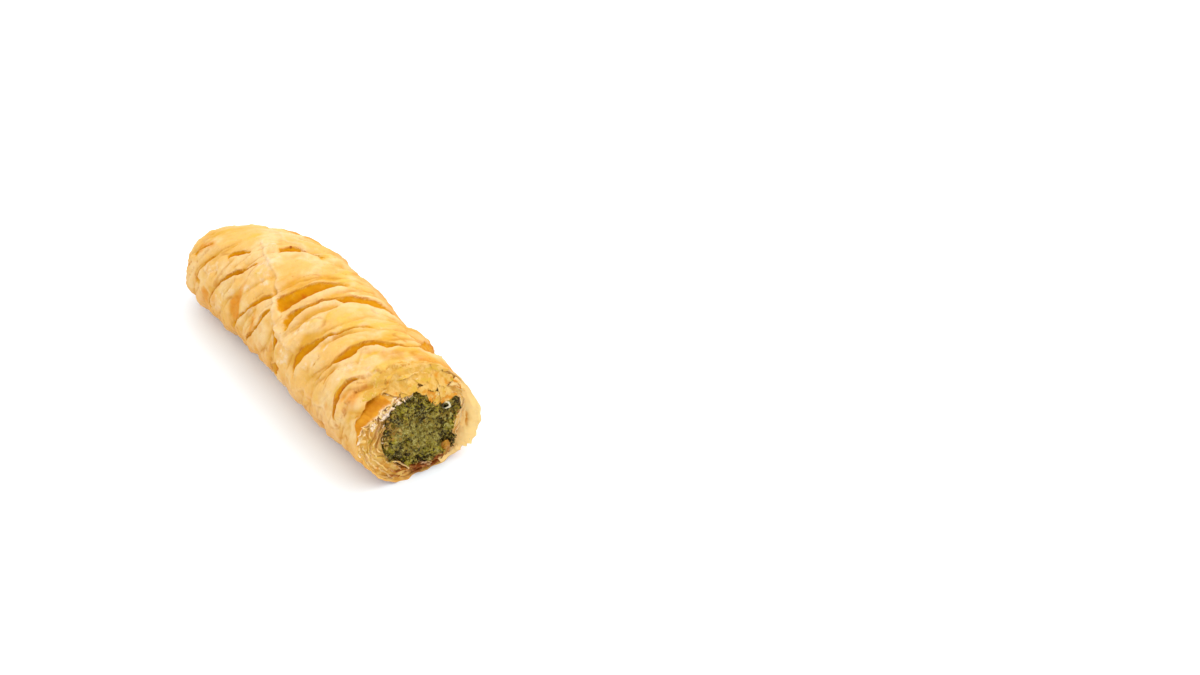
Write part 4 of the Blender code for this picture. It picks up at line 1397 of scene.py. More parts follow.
def thicken(bm, thickness):
    """Gives an open sheet a back, which closes it, and makes no spikes at a sharp fold."""
    bmesh.ops.recalc_face_normals(bm, faces=bm.faces[:])
    bm.normal_update()
    front = bm.verts[:]
    normals = [vert.normal.copy() for vert in front]
    bmesh.ops.extrude_face_region(bm, geom=bm.faces[:])
    for vert, normal in zip(front, normals):
        vert.co -= normal * thickness


def solid_sheet(name, columns, rows, place, thickness):
    """A grid moved to its place and given a sheet's thickness, as a closed mesh."""
    bm = grid_mesh(columns, rows, place)
    thicken(bm, thickness)
    mesh = mesh_from(bm, name)
    place_points(mesh, points_of(mesh))
    finish_mesh(mesh, SHEET_CREASE)
    return mesh


print("points along the rim:", len(RIM_POINTS))

# %% How the sheets are wound
WALL_TURNS = 4.4
WOUND_FROM = 100.0
COLUMNS_PER_TURN = 270
SHEET_ROWS = 7
SHEET_THICKNESS = 0.46 * MM
SHEET_DEPTH = 5.0 * MM
WALL_FROM, WALL_TO = 0.05, 0.97
LAP_RISE = 0.9 * MM
BUNCHED = 0.7 * MM
LEAN = 1.1 * MM
FRAY_LONG, FRAY_SHORT, FRAY_MOST = 1.3 * MM, 0.45 * MM, 0.6 * MM
BEHIND_RIM = 0.4 * MM
FLANK_CLEARED = 2.2 * MM
OUTERMOST, RIGHT_CLEARED = 0.04, 0.22
RIGHT_MIDDLE, RIGHT_SPAN = -88.0, 44.0
print("turns of the sheets:", WALL_TURNS, "depth in mm:", SHEET_DEPTH / MM)


# %% Wind the sheets
def wound_sheets(u, v):
    """Points and masks of the wall: u runs round and inward, v from deep in the roll to the cut edge."""
    degrees = WOUND_FROM + 360.0 * WALL_TURNS * u
    wrapped = (degrees + 180.0) % 360.0 - 180.0
    last = shown_across(wrapped) * WALL_TO
    across = WALL_FROM + (last - WALL_FROM) * u
    arc = wrapped * ARC_PER_DEGREE
    place = np.stack([arc, across * 14 * MM, 0.0 * arc], axis=-1)
    across = across + 0.20 * ripple(place, 6.0 * MM, 5.5) + 0.07 * ripple(place, 2.6 * MM, 6.6)
    on_right = np.minimum(2.0 * angle_window(wrapped, RIGHT_MIDDLE, RIGHT_SPAN), 1.0)
    outermost = OUTERMOST + RIGHT_CLEARED * on_right
    across = np.clip(across, outermost, last + 0.02)
    fray = FRAY_LONG * ripple(place * [1, 2, 1], 4.4 * MM, 11.1)
    fray += FRAY_SHORT * ripple(place * [1, 3, 1], 1.8 * MM, 12.9)
    fray = np.minimum(fray, FRAY_MOST)
    turns = np.stack([u * WALL_TURNS, 0.0 * u, 0.0 * u], axis=-1)
    bunched = BUNCHED * ripple(turns, 0.34, 3.7)
    reach = np.minimum(wall_reach(np.maximum(across, FLAP_INNER_EDGE[1]), wrapped), 0.0)
    reach = reach + fray + bunched - BEHIND_RIM + LAP_RISE * smooth_step(across, 1.0, 1.06)
    reach = reach - FLANK_CLEARED * in_flank(across, wrapped)
    point = wall_point(across, wrapped)
    masks = wall_masks(point, across, wrapped)
    back = 1.0 - v
    swirl = 0.2 * MM * ripple(place + [0, 0, 1] * back[:, None] * 4 * MM, 1.9 * MM, 17.7)
    swirl += LEAN * (ripple(place, 2.8 * MM, 37.7) + 0.25) * (1.0 - back) ** 2
    angle = np.radians(wrapped)
    point[:, 0] += reach - SHEET_DEPTH * back**1.6
    point[:, 1] += swirl * np.sin(angle)
    point[:, 2] = np.maximum(point[:, 2] - swirl * np.cos(angle), 0.15 * MM)
    return point, masks


wall_columns = int(WALL_TURNS * COLUMNS_PER_TURN)
wall_mesh = solid_sheet("cut_sheets", wall_columns, SHEET_ROWS, wound_sheets, SHEET_THICKNESS)
add_piece(wall_mesh, wall_finish)

# %% [markdown]
# ## The flap on the right
# On the right a few sheets came away together and stand out past the cut as one smooth, pale flap with a
# ragged lower edge. Its colour is made lighter as painted light, standing for the light that shines
# through its thin sheets. It is a short curved grid, from deep in the wall out to the lip, with a small
# fold in it.

# %% Where the flap is
FLAP_FROM, FLAP_TO = -54.0, -158.0
FLAP_ROOT, FLAP_LIP = 0.52, 0.10
FLAP_THICKNESS = 0.4 * MM
FLAP_COLUMNS, FLAP_ROWS = 150, 26
FLAP_BEHIND = 1.6 * MM
FLAP_WAVE = 0.6 * MM
FOLD_AT, FOLD_DEPTH = -103.0, 0.8 * MM
print("the flap covers this many degrees:", abs(FLAP_TO - FLAP_FROM))


# %% Make the flap
def flap_sheet(u, v):
    """Points and masks of the flap: u runs down it, v from its root in the wall out to its lip."""
    degrees = FLAP_FROM + (FLAP_TO - FLAP_FROM) * u
    across = FLAP_ROOT + (FLAP_LIP - FLAP_ROOT) * v**1.4
    lip = wall_reach(np.zeros(u.shape), degrees)
    point = wall_point(across, degrees)
    place = np.stack([degrees * ARC_PER_DEGREE, 8 * MM * v, 0.0 * v], axis=-1)
    wave = FLAP_WAVE * np.maximum(ripple(place, 3.6 * MM, 51.5), 0.0) * (1.0 - smooth_step(v, 0.5, 0.9))
    angle = np.radians(degrees)
    point[:, 0] += -FLAP_BEHIND + (lip + FLAP_BEHIND) * v
    point[:, 1] += wave * np.sin(angle)
    point[:, 2] = np.maximum(point[:, 2] - wave * np.cos(angle), 0.3 * MM)
    fold = bump(v, 0.5 + 0.12 * np.sin(np.radians(5.0 * degrees)), 0.11) * bump(degrees, FOLD_AT, 11.0)
    point[:, 0] -= FOLD_DEPTH * fold
    masks = wall_masks(point, across, degrees)
    masks["amber"] = 1.2 * fold
    masks["pale"] = np.maximum(0.6 * masks["pale"], 0.55 * (1.0 - fold))
    for name in ("oily", "tan", "burnt"):
        masks[name] = 0.0 * fold
    # The flap mask brings the painted light that stands for light shining through the sheet.
    masks["flap"] = 1.0 - fold
    return point, masks


flap_mesh = solid_sheet("right_flap", FLAP_COLUMNS, FLAP_ROWS, flap_sheet, FLAP_THICKNESS)
add_piece(flap_mesh, wall_finish)

# %% [markdown]
# ## The oily flank on the left
# On the left the outer sheets broke off a few millimetres short of the cut. The next sheet in is left bare
# there, soaked with oil and smooth, and it rises from behind the outer lip to a crumbly white ridge.

# %% Make the flank
FLANK_THICKNESS = 0.35 * MM
FLANK_OUT = 0.25 * MM
FLANK_COLUMNS, FLANK_ROWS = 110, 18


def flank_sheet(u, v):
    """Points and masks of the flank: u runs along it, v from behind the outer lip up to the ridge."""
    degrees = FLANK_FROM + (FLANK_TO + 4.0 - FLANK_FROM) * u
    ridge, width, _ = broken_back(degrees)
    outer = np.minimum(np.maximum(ridge - 1.2 * width, 0.03), ridge - 0.03)
    across = outer + (ridge - outer) * v
    place = np.stack([degrees * ARC_PER_DEGREE, 5 * MM * v, 0.0 * v], axis=-1)
    point = wall_point(across, degrees)
    masks = wall_masks(point, across, degrees)
    wave = 0.35 * MM * ripple(place, 3.0 * MM, 61.5)
    top = 0.5 * MM * ripple(place * [1, 0, 0], 1.5 * MM, 65.1) * smooth_step(v, 0.6, 1.0)
    angle = np.radians(degrees)
    point[:, 0] += wall_reach(across, degrees) + top
    point[:, 1] -= (FLANK_OUT + wave) * np.sin(angle)
    point[:, 2] += (FLANK_OUT + wave) * np.cos(angle)
    masks["crumb"] = 0.5 * smooth_step(v, 0.72, 0.95)
    masks["deep"] = 1.0 - smooth_step(v, 0.80, 1.0)
    return point, masks


flank_mesh = solid_sheet("oily_flank", FLANK_COLUMNS, FLANK_ROWS, flank_sheet, FLANK_THICKNESS)
add_piece(flank_mesh, wall_finish)

# %% [markdown]
# ## Torn scraps
# Filo breaks into scraps that lie like shingles where the knife went in, each thinner than a fingernail,
# with a frayed edge that curls up. They lie over the rim at the top and down the slope, to the filling's
# upper right edge. Each scrap is its own small grid, laid on a surface that runs along the skin, over the
# rim and down the wall, so that it follows whatever lies under it. Its streaks run round the roll.

# %% The scraps
ACROSS_PER_METRE = 1.0 / 0.0076
SCRAP_THICKNESS = 0.12 * MM
SCRAP_GAP = 0.05 * MM
SCRAP_COLUMNS, SCRAP_ROWS = 28, 12
# Distance past the rim (less than 0 is on the skin), angle, half length, half width, curl, skew, look.
SCRAPS = (
    (-0.8, 28, 2.2, 5.0, 0.2, 0.5, "gold"),
    (-0.4, -6, 2.6, 6.0, 0.25, -0.5, "pale"),
    (-0.8, -36, 2.2, 4.6, 0.2, 0.4, "gold"),
    (2.6, 15, 2.4, 4.6, 0.25, -0.5, "pale"),
    (2.6, -16, 2.4, 5.2, 0.25, 0.5, "gold"),
    (3.0, -40, 2.0, 4.0, 0.25, 0.4, "gold"),
    (5.0, 3, 2.0, 4.6, 0.2, 0.7, "gold"),
    (5.2, -24, 1.9, 3.8, 0.3, -0.4, "pale"),
    (7.2, -12, 1.5, 3.0, 0.35, 0.4, "gold"),
    (7.2, 12, 1.3, 2.4, 0.35, 0.2, "white"),
    (5.8, -44, 2.0, 4.2, 0.3, -0.4, "gold"),
    (7.6, -54, 1.8, 3.6, 0.3, 0.3, "amber"),
    (8.8, -40, 2.0, 4.0, 0.3, 0.5, "gold"),
    (9.3, -26, 1.8, 3.2, 0.35, -0.3, "amber"),
)
LOOKS = {
    "pale": {},
    "gold": {"oily": 0.3},
    "amber": {"amber": 0.7},
    "white": {"crumb": 0.9},
}
print("scraps:", len(SCRAPS))


# %% A surface over the rim
def over_the_rim(past, degrees):
    """Points and the way out at distances past the rim: on the skin before it, on the wall after it."""
    rim = rim_distance(degrees) + wall_reach(np.zeros(degrees.shape), degrees)
    on_skin, _ = skin(rim + np.minimum(past, 0.0), degrees)
    across = np.maximum(past, 0.0) * ACROSS_PER_METRE
    on_wall = wall_point(across, degrees)
    on_wall[..., 0] += wall_reach(across, degrees)
    _, out = plain_roll(rim, degrees)
    turned = 0.75 * smooth_step(past, -2.0 * MM, 2.0 * MM)[..., None]
    way = out * (1.0 - turned) + np.array([1.0, 0.0, 0.0]) * turned
    way = way / np.linalg.norm(way, axis=-1, keepdims=True)
    return np.where((past < 0.0)[..., None], on_skin, on_wall), way


on_rim, _ = over_the_rim(np.zeros(1), np.zeros(1))
print("top of the rim, in mm:", round(float(on_rim[0, 2]) / MM, 1))


# %% Lay a scrap, and join them all
def scrap_shape(past, angle, half_length, half_width, curl, skew, look):
    """The function that gives one scrap's points and masks, for the grid that becomes it."""
    def place(u, v):
        side, ahead = 2.0 * u - 1.0, 2.0 * v - 1.0
        seed = np.full(u.shape, past * 3.0 + angle)
        edge = np.stack([side * half_width, 0.3 * ahead, seed], axis=-1)
        frayed = np.clip(ripple(edge, 2.4, 0.2) + 0.45 * ripple(edge, 0.9, 0.5), -0.8, 0.8)
        crinkle = ripple(np.stack([side * half_width, ahead * half_length, seed], axis=-1), 1.1, 0.7)
        length = half_length * (1.0 - 0.75 * side**4) * (1.0 + 0.6 * frayed)
        width = half_width * (1.0 - 0.25 * ahead)
        there = past + length * ahead + skew * side
        around = angle + width * side / (ARC_PER_DEGREE / MM)
        point, out = over_the_rim(there * MM, around)
        curled = curl * MM * smooth_step(ahead, 0.1, 1.0) * (1.0 - 0.4 * side**2)
        lift = SCRAP_GAP + 0.12 * MM * crinkle + curled
        masks = {name: np.full(u.shape, LOOKS[look].get(name, 0.0)) for name in [*WALL_REGIONS, "deep"]}
        streak = ripple(np.stack([there, 0.06 * around, seed], axis=-1), 1.3, 0.4)
        masks["oily"] += 0.5 * smooth_step(streak, 0.0, 0.4)
        masks["amber"] += 0.5 * smooth_step(-streak, 0.1, 0.5)
        return point + out * lift[:, None], masks

    return place


def build_scraps():
    """All the scraps as one piece."""
    bm = bmesh.new()
    for scrap in SCRAPS:
        one = grid_mesh(SCRAP_COLUMNS, SCRAP_ROWS, scrap_shape(*scrap))
        thicken(one, SCRAP_THICKNESS)
        sheet = mesh_from(one, "scrap")
        bm.from_mesh(sheet)
        bpy.data.meshes.remove(sheet)
    mesh = mesh_from(bm, "torn_scraps")
    place_points(mesh, points_of(mesh))
    finish_mesh(mesh, SHEET_CREASE)
    add_piece(mesh, torn_finish)


build_scraps()

# %% [markdown]
# ## Spinach and cheese
# The filling is cooked spinach chopped with crumbled white cheese. In the middle it is a grey-green
# paste, and towards the edges it breaks into dark leaves. Soft round regions on the cut say where it is
# paste, dark or yellow-green, and the core and the loose bits both read them, so that they match.

# %% The filling's regions: distance to the side and height in millimetres, reach and strength
PASTE_REGIONS = (
    (2, 14, 6.0, 1.0), (6.5, 12, 4.5, 0.9), (-6, 18, 3.8, 1.0), (-1, 18, 4.0, 0.9), (0, 9.5, 4.5, 0.8),
    (-6, 13, 4.0, 0.8), (7, 18, 3.0, 0.7),
)
DARK_REGIONS = (
    (2.5, 22, 3.0, 1.0), (-6, 23, 2.2, 1.0), (-7.5, 10, 3.6, 0.8), (10, 10.5, 3.0, 1.0),
    (13.5, 6, 2.6, 1.3), (11.5, 20.5, 2.2, 0.9), (17, 20.5, 2.0, 1.3), (9.5, 16, 1.6, 0.8),
    (-10.5, 20, 2.4, 0.7), (1, 5.5, 2.2, 0.9), (-2, 28.5, 2.6, 0.8),
)
BRIGHT_REGIONS = (
    (-10, 13, 2.0, 1.0), (-7, 7, 2.4, 0.8), (-4.5, 26, 3.0, 1.0), (5, 24, 2.6, 0.8), (3, 8.5, 3.0, 0.9),
    (8, 5, 2.6, 1.0), (-4, 5.5, 3.0, 0.9), (13, 13.5, 2.2, 1.6), (-10, 15, 2.0, 0.6), (7, 20, 2.2, 0.6),
)
TAN_REGIONS = (
    (-11.0, 21, 2.4, 1.5), (-11.5, 17, 2.0, 1.3), (-9.5, 24.5, 2.4, 0.9), (-8, 18, 2.6, 0.7),
    (9.8, 6.6, 1.6, 0.8), (0, 3.6, 2.6, 0.5),
)


def filling_masks(points):
    """How much each place on the cut is paste, dark, bright or tan."""
    return {
        "paste": region(points, PASTE_REGIONS),
        "dark": region(points, DARK_REGIONS),
        "bright": region(points, BRIGHT_REGIONS),
        "tan": region(points, TAN_REGIONS),
    }


middle_masks = filling_masks(np.array([[0.0, 2.0 * MM, 14.0 * MM]]))
middle_shares = {name: round(float(mask[0]), 2) for name, mask in middle_masks.items()}
print("masks in the filling's middle:", middle_shares)

# %% The filling's finish
# The darkest leaf colour, also used as the painted shade in the onion ring's hole.
DARK_LEAF_AND_HOLE_SHADE = linear(50, 36, 2)
LEAF_DEEP = linear(118, 92, 14)
LEAF_MID = linear(152, 128, 36)
LEAF_BRIGHT = linear(172, 154, 38)
CHEESE_PASTE = linear(142, 128, 54)
CHEESE_PALE = linear(194, 182, 108)
STEWED_TAN = linear(186, 138, 54)


def make_filling_finish():
    """The filling's material: leaf colours, then paste, stewed tan, bright and dark leaves, and crumbs."""
    f = Finish("spinach_and_cheese")
    colour = f.blend(f.ramp(f.speckle(1.6 * MM, 3.0, 0.6), 0.38, 0.62), LEAF_DEEP, LEAF_MID)
    grain = f.speckle(1.9 * MM, 3.0, 0.6)
    colour = f.patches(colour, CHEESE_PASTE, "paste", grain, 0.30, (0.58, 0.78, 0.0, 0.9))
    grain = f.speckle(1.0 * MM, 2.0, 0.6)
    colour = f.patches(colour, CHEESE_PALE, "paste", grain, 0.10, (0.64, 0.76, 0.0, 0.5))
    colour = f.blend(f.mask("cheese"), colour, CHEESE_PALE)
    grain = f.speckle(1.8 * MM, 3.0, 0.6)
    colour = f.patches(colour, STEWED_TAN, "tan", grain, 0.32, (0.57, 0.74, 0.0, 0.9))
    grain = f.speckle(1.3 * MM, 3.0, 0.6)
    colour = f.patches(colour, LEAF_BRIGHT, "bright", grain, 0.26, (0.60, 0.76, 0.0, 0.95))
    grain = f.speckle(1.2 * MM, 3.0, 0.65)
    colour = f.patches(colour, DARK_LEAF_AND_HOLE_SHADE, "dark", grain, 0.26, (0.58, 0.74, 0.0, 0.95))
    fine = f.speckle(1.0 * MM, 4.0, 0.7)
    colour = f.blend(f.ramp(fine, 0.52, 0.64, 0.0, 0.72), colour, CHEESE_PALE)
    colour = f.blend(f.ramp(fine, 0.48, 0.35, 0.0, 0.95), colour, DARK_LEAF_AND_HOLE_SHADE)
    f.put(f.shader.inputs["Base Color"], colour)
    f.put(f.shader.inputs["Roughness"], f.ramp(f.speckle(1.0 * MM, 2.0), 0.35, 0.65, 0.30, 0.65))
    f.shader.inputs["Specular IOR Level"].default_value = 0.14
    f.soften(0.08, (0.6, 0.8, 0.25), 0.8 * MM)
    f.put(f.shader.inputs["Normal"], f.bumps(f.speckle(0.6 * MM, 4.0, 0.7), 0.3 * MM, 0.8))
    return f.material


filling_finish = make_filling_finish()
print(filling_finish.name, "nodes:", len(filling_finish.node_tree.nodes))

# %% The filling's crumbly face
FILLING_COLUMNS = 240
FILLING_FACE_RINGS = 84
LUMPS = (
    (5.0 * MM, 0.9 * MM, 3.3),
    (2.4 * MM, 1.2 * MM, 9.1),
    (1.2 * MM, 0.8 * MM, 14.8),
    (0.6 * MM, 0.25 * MM, 27.5),
)
EDGE_SUNK = 1.0 * MM
EDGE_SHARE = 0.12
COVERED_SUNK = 2.6 * MM


def filling_relief(points):
    """How far the crumbly face stands in or out at points on the cut."""
    flat = np.stack([0.0 * points[..., 1], points[..., 1], points[..., 2]], axis=-1)
    height = np.zeros(points.shape[:-1])
    for size, rise, seed in LUMPS:
        height += rise * ripple(flat, size, seed)
    return height


def filling_surface(points):
    """The same points moved along the roll onto the crumbly face."""
    side = points[..., 1] - BORE_MIDDLE[0]
    up = points[..., 2] - BORE_MIDDLE[1]
    degrees = np.degrees(np.arctan2(-side, up))
    radius = np.hypot(side, up)
    inward = 1.0 - radius / bore_radius(degrees)
    placed = points.copy()
    sunk = EDGE_SUNK * (1.0 - smooth_step(inward, 0.0, EDGE_SHARE))
    sunk = sunk + COVERED_SUNK * smooth_step(radius - shown_radius(degrees), -0.1 * MM, 0.8 * MM)
    placed[..., 0] = cut_distance(points[..., 2]) + filling_relief(points) - sunk
    return placed


print("sizes of the face's lumps in mm:", [round(lump[0] / MM, 1) for lump in LUMPS])


# %% Build the filling's core
def build_filling():
    """The core as one closed solid: the bore's rings, then rings across the face to its middle."""
    degrees = np.linspace(-180.0, 180.0, FILLING_COLUMNS, endpoint=False)
    rings = [bore_ring(station, degrees, 0.0) for station in reversed(BORE_STATIONS[1:])]
    edge = bore_ring(1.0, degrees, 0.0)
    middle = np.array([0.0, BORE_MIDDLE[0], BORE_MIDDLE[1]])
    for share in np.linspace(0.0, 1.0, FILLING_FACE_RINGS, endpoint=False):
        rings.append(filling_surface(edge + (middle - edge) * share))
    pole = filling_surface(middle)
    rings = np.array(rings)
    mesh, ring, column = sphere_through_rings("filling_core", rings, bore_tip(0.0), pole)
    for name, values in filling_masks(rings).items():
        add_mask(mesh, name, values[ring, column])
    finish_mesh(mesh, FILLING_CREASE)
    add_piece(mesh, filling_finish, ("spinach_filling",))


build_filling()

# %% [markdown]
# ## Chopped leaves and crumbs of cheese
# A cut through chopped spinach is a crowd of crumpled scraps a millimetre or two across. Each scrap here
# is a tiny icosphere, flattened, bent and dented by numbers of its own, and all of them are one mesh.
# They lie on the core's face, thicker round its edge, where the chopped leaves break away from the paste.

# %% A crowd of small shapes in one mesh
SPILLED_OUT = 0.6 * MM
AT_EDGE_REACH = 0.14
print("leaves past the bore's edge stand out this far, in mm:", SPILLED_OUT / MM)


def crowd(name, copies, place):
    """Many icospheres of 80 faces as one mesh, their points moved by place(unit points of every copy)."""
    bm = bmesh.new()
    bmesh.ops.create_icosphere(bm, subdivisions=2, radius=1.0)
    one = mesh_from(bm, name + "_shape")
    source = bpy.data.objects.new(name + "_shape", one)
    bpy.context.scene.collection.objects.link(source)
    array = source.modifiers.new("copies", "ARRAY")
    array.count = copies
    array.use_relative_offset = False
    view = bpy.context.evaluated_depsgraph_get()
    mesh = bpy.data.meshes.new_from_object(source.evaluated_get(view))
    mesh.name = name
    bpy.data.objects.remove(source)
    bpy.data.meshes.remove(one)
    points, masks = place(points_of(mesh).reshape(copies, -1, 3))
    place_points(mesh, points)
    for mask_name, values in masks.items():
        add_mask(mesh, mask_name, np.broadcast_to(values[:, None], points.shape[:2]).ravel())
    finish_mesh(mesh, SHEET_CREASE)
    return mesh


# %% How the small shapes turn, and where they lie
def random_turns(copies, tilt):
    """Rotation matrices that face each copy along the roll, tilted at random and turned any way."""
    spin = random.uniform(0.0, 2.0 * math.pi, copies)
    lean = random.normal(0.0, tilt, copies)
    way = random.uniform(0.0, 2.0 * math.pi, copies)
    normal = np.stack([np.cos(lean), np.sin(lean) * np.cos(way), np.sin(lean) * np.sin(way)], axis=-1)
    guide = np.stack([0.0 * spin, np.cos(spin), np.sin(spin)], axis=-1)
    first = np.cross(guide, normal)
    first /= np.linalg.norm(first, axis=-1, keepdims=True)
    second = np.cross(normal, first)
    return np.stack([first, second, normal], axis=-1)


def on_the_cut(copies, near_edge):
    """Random places on the filling that shows, with this share of them close to its edge."""
    degrees = random.uniform(-180.0, 180.0, copies)
    share = np.sqrt(random.uniform(0.0, 1.0, copies))
    at_edge = random.uniform(0.0, 1.0, copies) < near_edge
    share = np.where(at_edge, 1.0 - AT_EDGE_REACH * np.abs(random.normal(0.0, 1.0, copies)), share)
    radius = shown_radius(degrees) * np.clip(share, 0.0, 1.03)
    angle = np.radians(degrees)
    y = BORE_MIDDLE[0] - radius * np.sin(angle)
    z = BORE_MIDDLE[1] + radius * np.cos(angle)
    points = filling_surface(np.stack([0.0 * y, y, z], axis=-1))
    outside = smooth_step(radius / bore_radius(degrees), 0.96, 1.02)
    spilled = cut_distance(z) + SPILLED_OUT
    points[:, 0] = np.maximum(points[:, 0], points[:, 0] + (spilled - points[:, 0]) * outside)
    return points


print("the filling shows up to this height, in mm:",
      round(float(BORE_MIDDLE[1] + shown_radius(np.zeros(1))[0]) / MM, 1))

# %% The leaves
ONION_AT_MM = (11.8, 21.3)
ONION_RADIUS = 1.45 * MM
LEAVES = 1000
LEAF_SIZES = (0.4 * MM, 1.35 * MM)
LEAF_THICKNESS = (0.16, 0.34)
DARK_LEAVES, BRIGHT_LEAVES = 0.26, 0.84
PASTE_SUNK = 1.3 * MM
RING_CLEARED = 1.6 * MM


def place_leaves(unit):
    """Points and masks of all the leaf scraps."""
    copies = len(unit)
    middle = on_the_cut(copies, 0.35)
    sunk = PASTE_SUNK * np.clip(region(middle, PASTE_REGIONS), 0.0, 1.0)
    length = random.uniform(*LEAF_SIZES, copies) * random.uniform(0.7, 1.0, copies)
    width = length * random.uniform(0.4, 0.9, copies)
    thick = length * random.uniform(*LEAF_THICKNESS, copies)
    scale = np.stack([length, width, thick], axis=-1)
    dents = 1.0 + 0.55 * ripple(unit + 9.0 * np.arange(copies)[:, None, None], 0.9, 0.3)
    local = unit * dents[..., None] * scale[:, None, :]
    curl = random.uniform(-0.9, 0.9, copies)[:, None] / length[:, None]
    local[..., 2] += curl * local[..., 0] ** 2
    turned = np.einsum("nij,nkj->nki", random_turns(copies, 0.6), local)
    masks = filling_masks(middle)
    luck = random.uniform(0.0, 1.0, copies)
    not_bright = 1.0 - np.clip(masks["bright"], 0.0, 1.0) ** 2
    masks["dark"] = (1.2 * masks["dark"] + 1.0 * (luck < DARK_LEAVES)) * not_bright
    masks["bright"] = masks["bright"] + 1.0 * (luck > BRIGHT_LEAVES)
    masks["paste"] = 0.8 * masks["paste"] + 0.5 * (np.abs(luck - 0.5) < 0.1)
    masks["cheese"] = 0.6 * (np.abs(luck - 0.7) < 0.03)
    lift = random.uniform(-0.25, 0.55, copies) * MM
    points = middle[:, None, :] + turned
    from_ring = np.hypot(middle[:, 1] - ONION_AT_MM[0] * MM, middle[:, 2] - ONION_AT_MM[1] * MM)
    in_ring = np.exp(-((from_ring / (1.5 * ONION_RADIUS)) ** 4))
    points[..., 0] += (lift - sunk - RING_CLEARED * in_ring)[:, None]
    points[..., 2] = np.maximum(points[..., 2], 0.4 * MM)
    return points, masks


add_piece(crowd("leaf_scraps", LEAVES, place_leaves), filling_finish)

# %% [markdown]
# ## Flakes of pastry and two odd bits
# Dry filo sheds pale flakes where it was cut, most of them along the ridge and beside the filling. A
# third of them are white crumbs, which lie in heaps near the ridge. In the filling itself there is one
# ring of spring onion, whose hole and far half are darkened with painted shade, and one soft orange lump
# near the base.

# %% The flakes
FLAKES = 86
# Where white crumbs lie thickest: angle, share of the way across, and how far they spread in degrees.
CRUMB_HEAPS = ((27, 0.80, 3.0), (40, 0.80, 3.0), (47, 0.70, 2.5), (58, 0.30, 2.5), (60, 0.45, 3.0))
FLAKE_SIZES = (0.35 * MM, 1.1 * MM)


def place_flakes(unit):
    """Points and masks of all the flakes, every third of them a crumb in a heap."""
    copies = len(unit)
    degrees = random.normal(52.0, 26.0, copies)
    ridge, _, _ = broken_back(degrees)
    by_ridge = random.uniform(0.0, 1.0, copies) < 0.85
    beside = shown_across(degrees) - np.abs(random.normal(0.0, 0.12, copies))
    across = np.where(by_ridge, ridge + random.uniform(-0.04, 0.12, copies), beside)
    heaped = np.arange(copies) % 3 == 0
    heap = np.array(CRUMB_HEAPS)[np.arange(copies) // 3 % len(CRUMB_HEAPS)]
    degrees = np.where(heaped, heap[:, 0] + heap[:, 2] * random.normal(0.0, 1.0, copies), degrees)
    across = np.where(heaped, heap[:, 1] + random.normal(0.0, 0.04, copies), across)
    middle = wall_point(np.clip(across, 0.02, 1.2), degrees)
    masks = wall_masks(middle, across, degrees)
    masks["crumb"] = np.where(heaped, 1.2, 0.7 * (random.uniform(0.0, 1.0, copies) < 0.3))
    masks["deep"] = 0.0 * across
    middle[:, 0] += wall_reach(np.maximum(across, ridge), degrees) + random.uniform(-0.2, 0.5, copies) * MM
    length = random.uniform(*FLAKE_SIZES, copies)
    thick = length * np.where(heaped, 0.35, 0.13)
    width = length * random.uniform(0.25, 0.6, copies) + 0.2 * heaped * length
    scale = np.stack([length, width, thick], axis=-1)
    dents = 1.0 + 0.9 * ripple(unit + 7.0 * np.arange(copies)[:, None, None], 0.9, 0.6)
    local = unit * dents[..., None] * scale[:, None, :]
    turned = np.einsum("nij,nkj->nki", random_turns(copies, 0.6), local)
    return middle[:, None, :] + turned, masks


add_piece(crowd("pastry_flakes", FLAKES, place_flakes), wall_finish)

# %% A finish for the ring and the lump
ONION_LENGTH = 2.2 * MM
ONION_WALL = 0.36 * MM
ONION_FACES = (1.0, -0.35, 0.25)
HOLE_SHIFT = (-0.26 * MM, 0.06 * MM)
LUMP_AT_MM = (9.9, 6.4)
LUMP_SIZE = (1.0 * MM, 1.5 * MM, 2.4 * MM)
ONION_PALE, ONION_GREEN = linear(236, 224, 194), linear(204, 190, 128)
LUMP_ORANGE, LUMP_BROWN = linear(194, 136, 34), linear(166, 104, 18)


def plain_finish(name, colour, other):
    """Two colours in soft patches, and dark painted shade where the hole is."""
    f = Finish(name)
    mixed = f.blend(f.ramp(f.speckle(1.0 * MM, 3.0), 0.38, 0.62), colour, other)
    f.put(f.shader.inputs["Base Color"], f.blend(f.mask("hole"), mixed, DARK_LEAF_AND_HOLE_SHADE))
    f.put(f.shader.inputs["Roughness"], f.ramp(f.speckle(0.8 * MM, 2.0), 0.3, 0.7, 0.3, 0.5))
    f.shader.inputs["Specular IOR Level"].default_value = 0.25
    f.soften(0.08, (1.0, 0.2, 0.1), 0.8 * MM)
    f.put(f.shader.inputs["Normal"], f.bumps(f.speckle(0.5 * MM, 3.0), 0.1 * MM, 0.5))
    return f.material


def on_face(side, up, out):
    """A place on the cut, at millimetres to the side and up, this far out of it."""
    return np.array([cut_distance(up * MM) + out, side * MM, up * MM])


onion_finish = plain_finish("spring_onion", ONION_PALE, ONION_GREEN)
lump_finish = plain_finish("orange_lump", LUMP_ORANGE, LUMP_BROWN)
print("materials:", onion_finish.name, lump_finish.name)


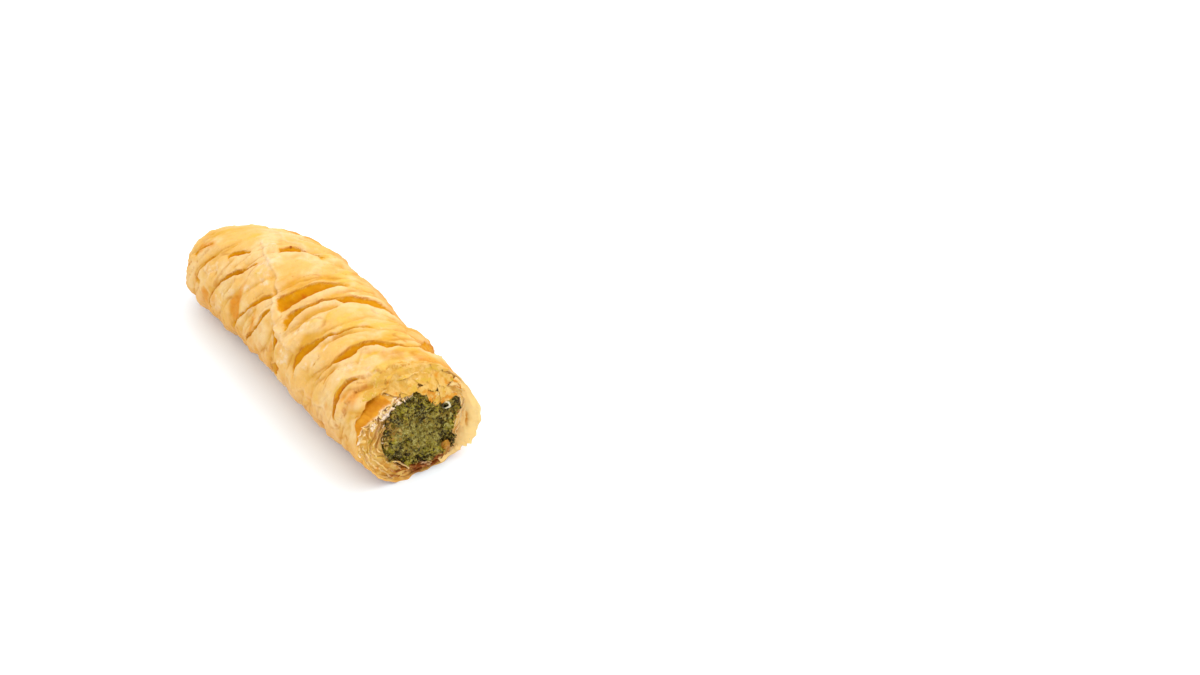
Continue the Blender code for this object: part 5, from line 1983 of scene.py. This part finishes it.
# %% The onion ring
def build_onion():
    """A short tube with a slightly crooked rim and hole, turned to face the camera.
    Its hole and far half are darkened with painted shade.
    """
    bm = bmesh.new()
    bmesh.ops.create_cone(bm, cap_ends=False, segments=28, radius1=ONION_RADIUS, radius2=0.94 * ONION_RADIUS,
                          depth=ONION_LENGTH)
    upright = [edge for edge in bm.edges if abs(edge.verts[0].co.z - edge.verts[1].co.z) > 0]
    bmesh.ops.subdivide_edges(bm, edges=upright, cuts=4)
    bmesh.ops.solidify(bm, geom=bm.faces[:], thickness=ONION_WALL)
    mesh = mesh_from(bm, "onion_ring")
    points = points_of(mesh)
    points = points * (1.0 + 0.14 * ripple(points, 1.2 * MM, 4.4))[:, None] * [1.0, 0.86, 1.0]
    inner = 1.0 - smooth_step(np.hypot(points[:, 0], points[:, 1]), 0.78 * ONION_RADIUS, 0.84 * ONION_RADIUS)
    points[:, :2] += inner[:, None] * np.array(HOLE_SHIFT)
    points[:, 2] += 0.35 * MM * ripple(points, 1.6 * MM, 9.4)
    # Painted shade: the inside of the hole and the far half of the rim are coloured dark.
    far_side_shade = 0.85 * smooth_step(-points[:, 0], 0.0, 0.8 * ONION_RADIUS)
    add_mask(mesh, "hole", np.maximum(inner * (points[:, 2] < 0.35 * ONION_LENGTH), far_side_shade))
    ahead = np.array(ONION_FACES) / np.linalg.norm(ONION_FACES)
    side = np.cross([0.0, 0.0, 1.0], ahead)
    up = np.cross(ahead, side)
    place_points(mesh, points @ np.stack([side, up, ahead]) + on_face(*ONION_AT_MM, 0.1 * MM))
    finish_mesh(mesh, SHEET_CREASE)
    add_piece(mesh, onion_finish)


build_onion()


# %% The orange lump
def build_lump():
    """A dented ball, longer than it is wide, half sunk in the face."""
    bm = bmesh.new()
    bmesh.ops.create_icosphere(bm, subdivisions=4, radius=1.0)
    mesh = mesh_from(bm, "orange_lump")
    points = points_of(mesh)
    points = points * (1.0 + 0.6 * ripple(points, 0.8, 8.1))[:, None] * LUMP_SIZE
    place_points(mesh, points + on_face(*LUMP_AT_MM, 0.6 * MM))
    finish_mesh(mesh, SHEET_CREASE)
    add_piece(mesh, lump_finish)


build_lump()

# %% [markdown]
# ## The table
# The half lies on a bare pale surface, a flat grid that glows a little so that it looks white. It is
# there for the picture alone and is no part of the food.

# %% The table
TABLE_HALF_SIDE = 6.0
TABLE_COLOUR = (0.885, 0.925, 0.955, 1.0)
TABLE_GLOW, TABLE_GLOW_STRENGTH = (0.5, 0.8, 1.0, 1.0), 0.10
bm = bmesh.new()
bmesh.ops.create_grid(bm, x_segments=1, y_segments=1, size=TABLE_HALF_SIDE)
table_mesh = mesh_from(bm, "table")
table_finish = Finish("pale_table")
table_finish.shader.inputs["Base Color"].default_value = TABLE_COLOUR
table_finish.shader.inputs["Emission Color"].default_value = TABLE_GLOW
table_finish.shader.inputs["Emission Strength"].default_value = TABLE_GLOW_STRENGTH
table_finish.shader.inputs["Roughness"].default_value = 0.7
table_mesh.materials.append(table_finish.material)
table = bpy.data.objects.new("table", table_mesh)
bpy.context.scene.collection.objects.link(table)
print("the table's side in m:", 2.0 * TABLE_HALF_SIDE)
